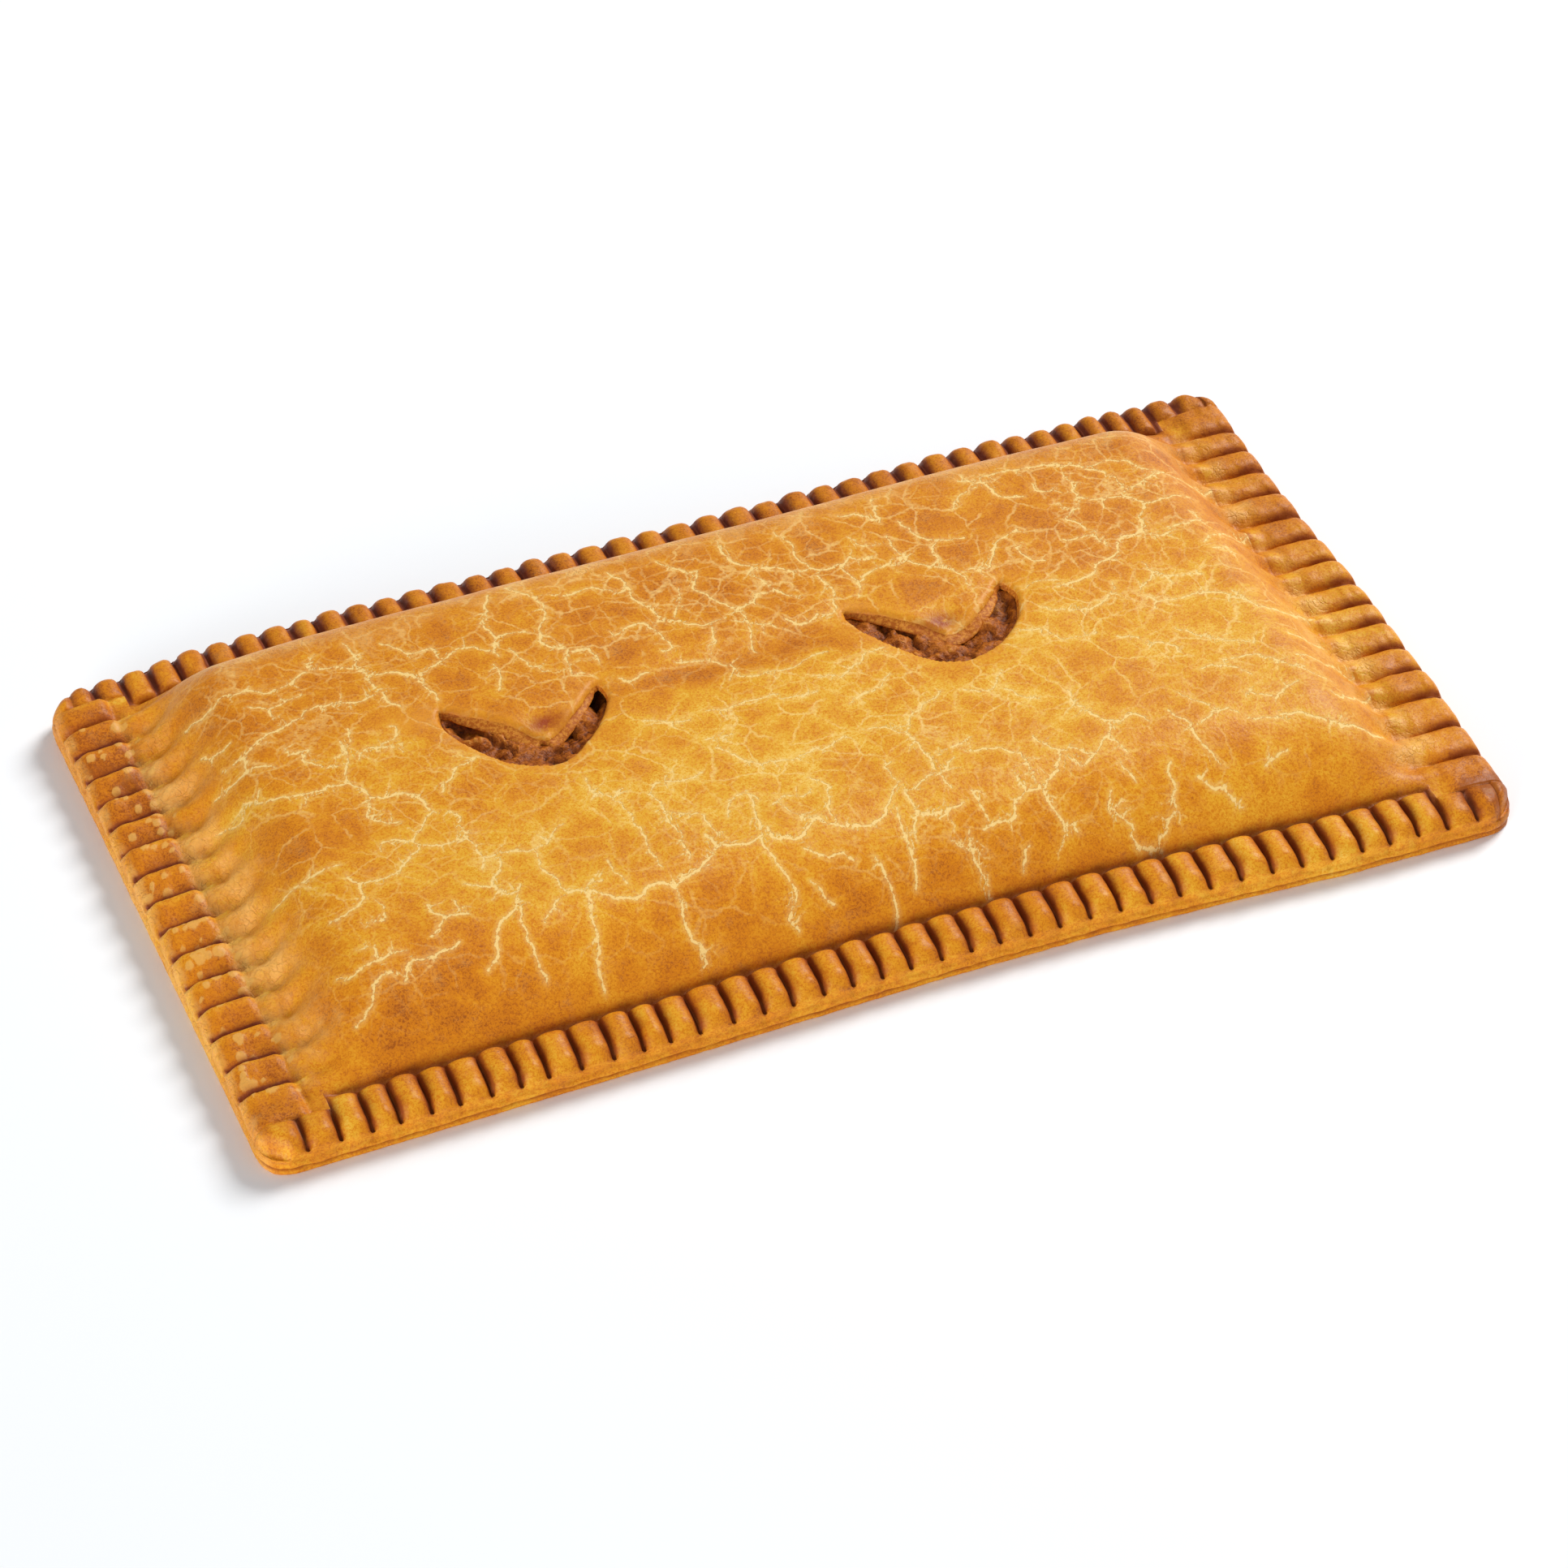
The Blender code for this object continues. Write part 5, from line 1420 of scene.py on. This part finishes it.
class Graph:
    """The nodes of one material."""

    def __init__(self, name):
        self.material = bpy.data.materials.new(name)
        self.material.use_nodes = True
        self.tree = self.material.node_tree
        self.tree.nodes.clear()

    def add(self, kind, settings=None, inputs=None, output=0):
        """Makes a node, applies its settings, then sets or links its inputs. Returns one of its outputs."""
        node = self.tree.nodes.new("ShaderNode" + kind)
        for key, value in (settings or {}).items():
            if key == "stops":
                self.set_stops(node.color_ramp, value)
            else:
                setattr(node, key, value)
        for key, value in (inputs or {}).items():
            if isinstance(value, Socket):
                self.tree.links.new(value.output, node.inputs[key])
            else:
                node.inputs[key].default_value = value
        return Socket(self, node.outputs[output])

    @staticmethod
    def set_stops(ramp, stops):
        """Gives a colour ramp its stops: a place and a colour each."""
        while len(ramp.elements) < len(stops):
            ramp.elements.new(1.0)
        for element, (place, shade) in zip(ramp.elements, stops):
            element.position, element.color = place, shade

    def fade(self, value, start, end):
        """0 before start, 1 after end, smooth in between. Start may be the larger."""
        inputs = {"Value": value, "From Min": start, "From Max": end}
        return self.add("MapRange", {"interpolation_type": "SMOOTHSTEP"}, inputs)

    def mix(self, factor, first, second, blend="MIX"):
        """Goes from the first colour to the second as the factor goes from 0 to 1."""
        settings = {"data_type": "RGBA", "blend_type": blend}
        return self.add("Mix", settings, {FACTOR: factor, FIRST: first, SECOND: second}, MIXED)

    def millimetres(self):
        """Each point's place on the part, in millimetres."""
        metres = self.add("TexCoord", None, None, OBJECT_PLACE)
        return self.add("VectorMath", {"operation": "SCALE"}, {0: metres, "Scale": 1 / MM})

    def move(self, place, direction, size):
        """A place, pushed along by a noise colour whose middle grey stands for no push."""
        centred = self.add("VectorMath", {"operation": "SUBTRACT"}, {0: direction, 1: (0.5, 0.5, 0.5)})
        pushed = self.add("VectorMath", {"operation": "SCALE"}, {0: centred, "Scale": size})
        return self.add("VectorMath", {"operation": "ADD"}, {0: place, 1: pushed})

    def cloud(self, place, size, detail=2.0, output=0, distortion=0.0):
        """Noise of a size in millimetres, from about 0 to 1, or three noises as a colour."""
        inputs = {"Vector": place, "Scale": 1.0 / size, "Detail": detail, "Distortion": distortion}
        return self.add("TexNoise", {"noise_dimensions": "3D"}, inputs, output)

    def cell_edges(self, place, size):
        """Distance in millimetres to the nearest edge of random cells of a size."""
        settings = {"feature": "DISTANCE_TO_EDGE", "voronoi_dimensions": "3D"}
        return self.add("TexVoronoi", settings, {"Vector": place, "Scale": 1.0 / size}) * size

    def attribute(self, name):
        """The three numbers of a stored vector."""
        vector = self.add("Attribute", {"attribute_name": name}, None, AS_VECTOR)
        node = self.tree.nodes.new("ShaderNodeSeparateXYZ")
        self.tree.links.new(vector.output, node.inputs[0])
        return [Socket(self, node.outputs[k]) for k in range(3)]

    def close(self, settings, bumps):
        """Ends the graph in a Principled shader, with a chain of bumps: a height and a depth in mm each."""
        normal = None
        for height, distance in bumps:
            inputs = {"Height": height, "Distance": distance * MM}
            if normal is not None:
                inputs["Normal"] = normal
            normal = self.add("Bump", None, inputs)
        shader = self.add("BsdfPrincipled", None, {**settings, "Normal": normal})
        self.add_output(shader)
        return self.material

    def add_output(self, shader):
        node = self.tree.nodes.new("ShaderNodeOutputMaterial")
        self.tree.links.new(shader.output, node.inputs["Surface"])


def screen(red, green, blue):
    """Light values of a colour that is given as screen values from 0 to 255."""
    shares = np.array([red, green, blue]) / 255
    light = np.where(shares <= 0.04045, shares / 12.92, ((shares + 0.055) / 1.055) ** 2.4)
    return (*map(float, light), 1.0)


# %% [markdown]
# ## The glazed crust
#
# Egg glaze browns in the oven, so the tone runs from pale gold to brown, place by place, with freckles. Where
# it split, cream-coloured dough shows in lines, and a lighter band lies along each line. Sugar scorched in
# the grooves makes them red-brown, but part of that brown and their dark core is painted shade. The bars'
# flanks and faces carry painted light and shade, the left shoulder is paler, partly pale dough and partly
# painted light, and the back crest has a painted sheen. The large cracks come from the lid's stored
# distances, and the fine ones are the edges of random cells in several sizes, bent by noise and broken up, so
# that no two look alike.

# %% Colours of the crust
CRUST_TONES = (
    (0.0, screen(241, 192, 84)),
    (0.18, screen(231, 170, 45)),
    (0.36, screen(224, 149, 31)),
    (0.55, screen(213, 128, 18)),
    (0.74, screen(198, 114, 21)),
    (0.88, screen(182, 99, 19)),
    (1.0, screen(158, 82, 17)),
)
CREAM = screen(248, 210, 132)
PALE_DOUGH_AND_LIGHT = screen(255, 198, 108)
# The grooves' brown is partly scorched sugar and partly painted shade; their dark core is painted shade.
GROOVE_BROWN, GROOVE_DARK, SEAM_BROWN = screen(162, 78, 20), screen(110, 44, 24), screen(146, 66, 13)
BLISTER_GOLD = screen(232, 178, 90)
CUT_ORANGE, CUT_BROWN = screen(220, 142, 48), screen(178, 94, 20)
WRINKLE_GOLD = screen(206, 132, 52)
TONGUE_RED = screen(150, 54, 28)
GLOW_GOLD = screen(232, 156, 48)

# %% The crust's finish
NOISES = ((24.0, 2.0), (7.0, 3.0), (2.2, 3.0), (0.75, 3.0), (0.3, 2.0))  # size in millimetres, octaves
BEND_SIZE, BEND_DEPTH, CRUMPLE_SIZE, CRUMPLE_DEPTH = 6.0, 4.0, 1.6, 1.1  # how noise bends the fine cracks
MIDDLE_CELLS, SMALL_CELLS, WRINKLE_CELLS, SAND_SIZE = 9.0, 4.6, 1.7, 0.42
CRUST_SHINE, RELIEF_BUMP, LINE_BUMP = 0.18, 0.26, 0.1  # the bumps in millimetres
crust = Graph("baked_crust")
place = crust.millimetres()
offset_x, offset_y, crack_width = crust.attribute("crack")
halo, brown, speckle = crust.attribute("tone")
groove, blister_mask, line = crust.attribute("mark")
glow, cut, tongue = crust.attribute("vent")
# pale is partly painted light, and darkness is the strength of the groove cores' painted shade.
net_region, pale, darkness = crust.attribute("dough")

broad, patchy, mottle, grain, fine = (crust.cloud(place, size, detail) for size, detail in NOISES)

# The large cracks: distance to the traced line against its width, with a ragged edge.
away = crust.add("Math", {"operation": "SQRT"}, {0: offset_x * offset_x + offset_y * offset_y})
ragged = away + grain.swing(0.9) + fine.swing(0.4) + mottle.swing(0.4)
seen = crust.fade(crack_width, 0.05, 0.24)
large_line = crust.fade(ragged - crack_width * 0.3, 0.17, -0.05) * 0.9 * seen
large_line = large_line + crust.fade(ragged - crack_width * 0.6, 1.1, 0.0) * 0.2 * seen

# The fine cracks: edges of cells in two sizes, bent by noise and broken up by other noise.
bent = crust.move(place, crust.cloud(place, BEND_SIZE, 3.0, AS_COLOUR), BEND_DEPTH)
bent = crust.move(bent, crust.cloud(place, CRUMPLE_SIZE, 2.0, AS_COLOUR), CRUMPLE_DEPTH)
middle_edges = crust.cell_edges(bent, MIDDLE_CELLS)
middle_net = crust.fade(middle_edges + grain.swing(0.6), 0.42, 0.0) * crust.fade(patchy, 0.38, 0.54)
small_edges = crust.cell_edges(bent, SMALL_CELLS) + grain.swing(0.5)
small_net = crust.fade(small_edges, 0.36, 0.0) * crust.fade(broad + halo * 0.15, 0.42, 0.6)
fine_lines = (middle_net * 0.75 + small_net * 0.38) * net_region
interior = crust.fade(middle_edges, 0.4, 2.6) * crust.fade(away, 1.0, 4.0)

# The glaze: browning, noises in four sizes, freckles and sand, paler beside cracks and browner between them.
freckles = crust.fade(grain * 0.5 + fine * 0.5, 0.5, 0.62) * crust.fade(mottle, 0.34, 0.6) * speckle
sand = crust.fade(crust.cloud(place, SAND_SIZE, 2.0, distortion=0.8), 0.45, 0.64) * (0.5 + patchy)
tone = brown + broad.swing(0.35) + patchy.swing(0.46) + mottle.swing(0.4) + grain.swing(0.42)
tone = tone - halo * 0.14 + freckles * 0.06 + (sand - 0.4) * 0.34
tone = tone + interior * 0.16 - fine_lines * 0.12 + glow * 0.05
tone = tone * 0.8 + 0.1
colour = crust.add("ValToRGB", {"stops": CRUST_TONES}, {0: tone})
colour = crust.mix(glow * 0.5, colour, GLOW_GOLD)
# Pale dough, partly painted light on the left shoulder, and a painted sheen on the back crest.
pale_and_lit_share = crust.fade(pale + patchy.swing(1.2) + mottle.swing(0.8) + grain.swing(0.3), 0.05, 1.05)
colour = crust.mix(pale_and_lit_share * 0.7, colour, PALE_DOUGH_AND_LIGHT)
wrinkle_edges = crust.cell_edges(bent, WRINKLE_CELLS) + grain.swing(0.5)
wrinkle = crust.fade(wrinkle_edges, 0.26, 0.0) * crust.fade(pale, 0.15, 0.6)
colour = crust.mix(wrinkle * 0.24, colour, WRINKLE_GOLD)
lines = crust.add("Math", {"operation": "MINIMUM"}, {0: large_line * 0.9 + fine_lines * 0.55, 1: 0.92})
colour = crust.mix(lines * (1 - cut), colour, CREAM)
blistered = crust.fade(blister_mask + fine.swing(0.3), 0.05, 0.45)
colour = crust.mix(blistered * 0.62, colour, BLISTER_GOLD)
# Grooves: brown, partly scorched sugar and partly painted shade, and a dark core of painted shade.
colour = crust.mix(groove * (0.85 + mottle.swing(0.6)), colour, GROOVE_BROWN)
core = crust.fade(groove + grain.swing(0.3), 0.56, 1.02)
colour = crust.mix(core * darkness, colour, GROOVE_DARK)
colour = crust.mix(line * (0.85 + mottle.swing(0.6)), colour, SEAM_BROWN)
granular = crust.fade(grain + fine.swing(0.6), 0.35, 0.7)
colour = crust.mix(cut, colour, crust.mix(granular, CUT_BROWN, CUT_ORANGE))
colour = crust.mix(tongue * 0.9 * crust.fade(mottle, 0.22, 0.46), colour, TONGUE_RED)
roughness = 0.42 + mottle.swing(0.2) + lines * 0.15 + cut * 0.12 + groove * 0.1
relief_height = mottle * 0.5 + grain * 0.35 + fine * 0.15
crust_material = crust.close(
    {"Base Color": colour, "Roughness": roughness, "Specular IOR Level": CRUST_SHINE},
    ((relief_height, RELIEF_BUMP), (1 - lines - wrinkle * 0.8, LINE_BUMP)),
)
for piece in (lid, rim):
    piece.data.materials.append(crust_material)
print("nodes in the crust's finish:", len(crust.tree.nodes))

# %% [markdown]
# ## The meat filling
#
# Cooked meat in its juice: brown lumps, lighter on top as painted light and darker in the clefts between them
# as painted shade, near-black painted shade in the hollows, lighter shreds, and a moist shine.

# %% The filling's finish
# From the clefts' painted shade to the lumps' painted light.
MEAT_TONES = (
    (0.0, screen(74, 26, 4)),
    (0.3, screen(142, 70, 12)),
    (0.6, screen(190, 106, 26)),
    (1.0, screen(232, 166, 72)),
)
# Near-black painted shade for the hollows.
MEAT_HOLLOW_SHADE = screen(40, 16, 8)
MEAT_SHREDS, MEAT_FIBRE = 1.4, 0.45  # sizes of the noises in millimetres
MEAT_SHINE, SHRED_BUMP, FIBRE_BUMP = 0.16, 0.35, 0.12  # the bumps in millimetres
meat = Graph("moist_meat")
place = meat.millimetres()
chop, hollow_shade_mask, _ = meat.attribute("meat")
shreds = meat.cloud(place, MEAT_SHREDS, 4.0, distortion=1.2)
fibre = meat.cloud(place, MEAT_FIBRE, 3.0)
# Higher lumps lighter, lower clefts darker: painted light and shade.
tone = chop * 0.7 + shreds.swing(1.0) + fibre.swing(0.5) + 0.12
colour = meat.add("ValToRGB", {"stops": MEAT_TONES}, {0: tone})
colour = meat.mix(hollow_shade_mask * 0.85, colour, MEAT_HOLLOW_SHADE)
meat_material = meat.close(
    {"Base Color": colour, "Roughness": 0.46 + fibre.swing(0.3), "Specular IOR Level": MEAT_SHINE},
    ((shreds, SHRED_BUMP), (fibre, FIBRE_BUMP)),
)
filling.data.materials.append(meat_material)

# %% The ground's finish
GROUND_WHITE = (0.98, 0.985, 0.985)
ground = Graph("studio_ground")
speck = ground.cloud(ground.add("TexCoord", None, None, OBJECT_PLACE), 0.4, 2.0)
white = ground.mix(speck, (*GROUND_WHITE, 1), (*(0.99 * share for share in GROUND_WHITE), 1))
floor_material = ground.close({"Base Color": white, "Roughness": 0.8}, ((speck, 0.01),))
print("finishes:", [material.name for material in (crust_material, meat_material, floor_material)])

# %% [markdown]
# ## Floor, light and camera
#
# The pastry lies on a plain white ground in soft studio light. A broad lamp high at the back right makes the
# short soft shadow to the left, a low one at the left front opens the shadows, and a pale sky does the rest.

# %% The floor
FLOOR_SIZE = 6.0
floor_mesh = bpy.data.meshes.new("floor")
half = FLOOR_SIZE / 2
corners = [(x * half, y * half, 0) for x, y in ((-1, -1), (1, -1), (1, 1), (-1, 1))]
floor_mesh.from_pydata(corners, [], [(0, 1, 2, 3)])
floor = bpy.data.objects.new("floor", floor_mesh)
bpy.context.scene.collection.objects.link(floor)
floor_mesh.materials.append(floor_material)

# %% The lamps
LAMPS = {  # place and aim in metres, size, watts, colour
    "key": ((1.70, 0.85, 1.62), (0, 0, 0), 1.0, 62.0, (1.0, 1.0, 1.0)),
    "fill": ((-1.95, -1.55, 0.24), (0, 0, 0), 1.4, 72.0, (1.0, 0.98, 0.95)),
}
SKY_STRENGTH, SKY_COLOUR = 0.33, (0.92, 1.0, 1.09, 1.0)


def standing(right, up, back, place):
    """The matrix of a thing at a place, with the directions of its own three axes."""
    rows = np.column_stack([right, up, back, place])
    return Matrix([[float(value) for value in row] for row in rows] + [(0, 0, 0, 1)])


def add_lamp(name, place, aim, size, watts, colour):
    """A square lamp that faces its aim."""
    lamp = bpy.data.lights.new(name, "AREA")
    lamp.shape = "SQUARE"
    lamp.size, lamp.energy, lamp.color = size, watts, colour
    holder = bpy.data.objects.new(name, lamp)
    direction = np.array(place) - np.array(aim)
    back = direction / np.linalg.norm(direction)
    right = np.cross((0, 0, 1), back)
    right = right / np.linalg.norm(right)
    holder.matrix_world = standing(right, np.cross(back, right), back, place)
    bpy.context.scene.collection.objects.link(holder)


for name, settings in LAMPS.items():
    add_lamp(name, *settings)
bpy.context.scene.view_settings.view_transform = "Standard"
world = bpy.data.worlds.new("studio")
bpy.context.scene.world = world
world.use_nodes = True
world.node_tree.nodes["Background"].inputs["Color"].default_value = SKY_COLOUR
world.node_tree.nodes["Background"].inputs["Strength"].default_value = SKY_STRENGTH
print("lamps:", list(LAMPS), "sky:", SKY_STRENGTH)

# %% The camera, fitted to the photograph's frame
IMAGE_SIZE = 1932
FOCAL_PIXELS = 6500.0
AZIMUTH, ELEVATION, ROLL = np.radians([-22.757, 41.716, 0.277])
MIDDLE_X, MIDDLE_Y = 955.62, 947.02  # pixel where the measured frame's origin lands
DISTANCE = 1049.62  # mm
SENSOR = 36.0
flat = np.cos(ELEVATION)
back = np.array([np.sin(AZIMUTH) * flat, -np.cos(AZIMUTH) * flat, np.sin(ELEVATION)])
level = np.array([np.cos(AZIMUTH), np.sin(AZIMUTH), 0.0])
upright = np.cross(back, level)
right = np.cos(ROLL) * level + np.sin(ROLL) * upright
up = -np.sin(ROLL) * level + np.cos(ROLL) * upright
aside = (MIDDLE_X - IMAGE_SIZE / 2) * DISTANCE / FOCAL_PIXELS
above = -(MIDDLE_Y - IMAGE_SIZE / 2) * DISTANCE / FOCAL_PIXELS
eye = (back * DISTANCE - right * aside - up * above - CENTRE) * MM
camera_data = bpy.data.cameras.new("camera")
camera_data.sensor_width = SENSOR
camera_data.lens = FOCAL_PIXELS * SENSOR / IMAGE_SIZE
camera_data.clip_start, camera_data.clip_end = 0.01, 50.0
camera = bpy.data.objects.new("camera", camera_data)
camera.matrix_world = standing(right, up, back, eye)
bpy.context.scene.collection.objects.link(camera)
bpy.context.scene.camera = camera
print("camera at", np.round(eye, 4), "lens", round(camera_data.lens, 2), "mm")
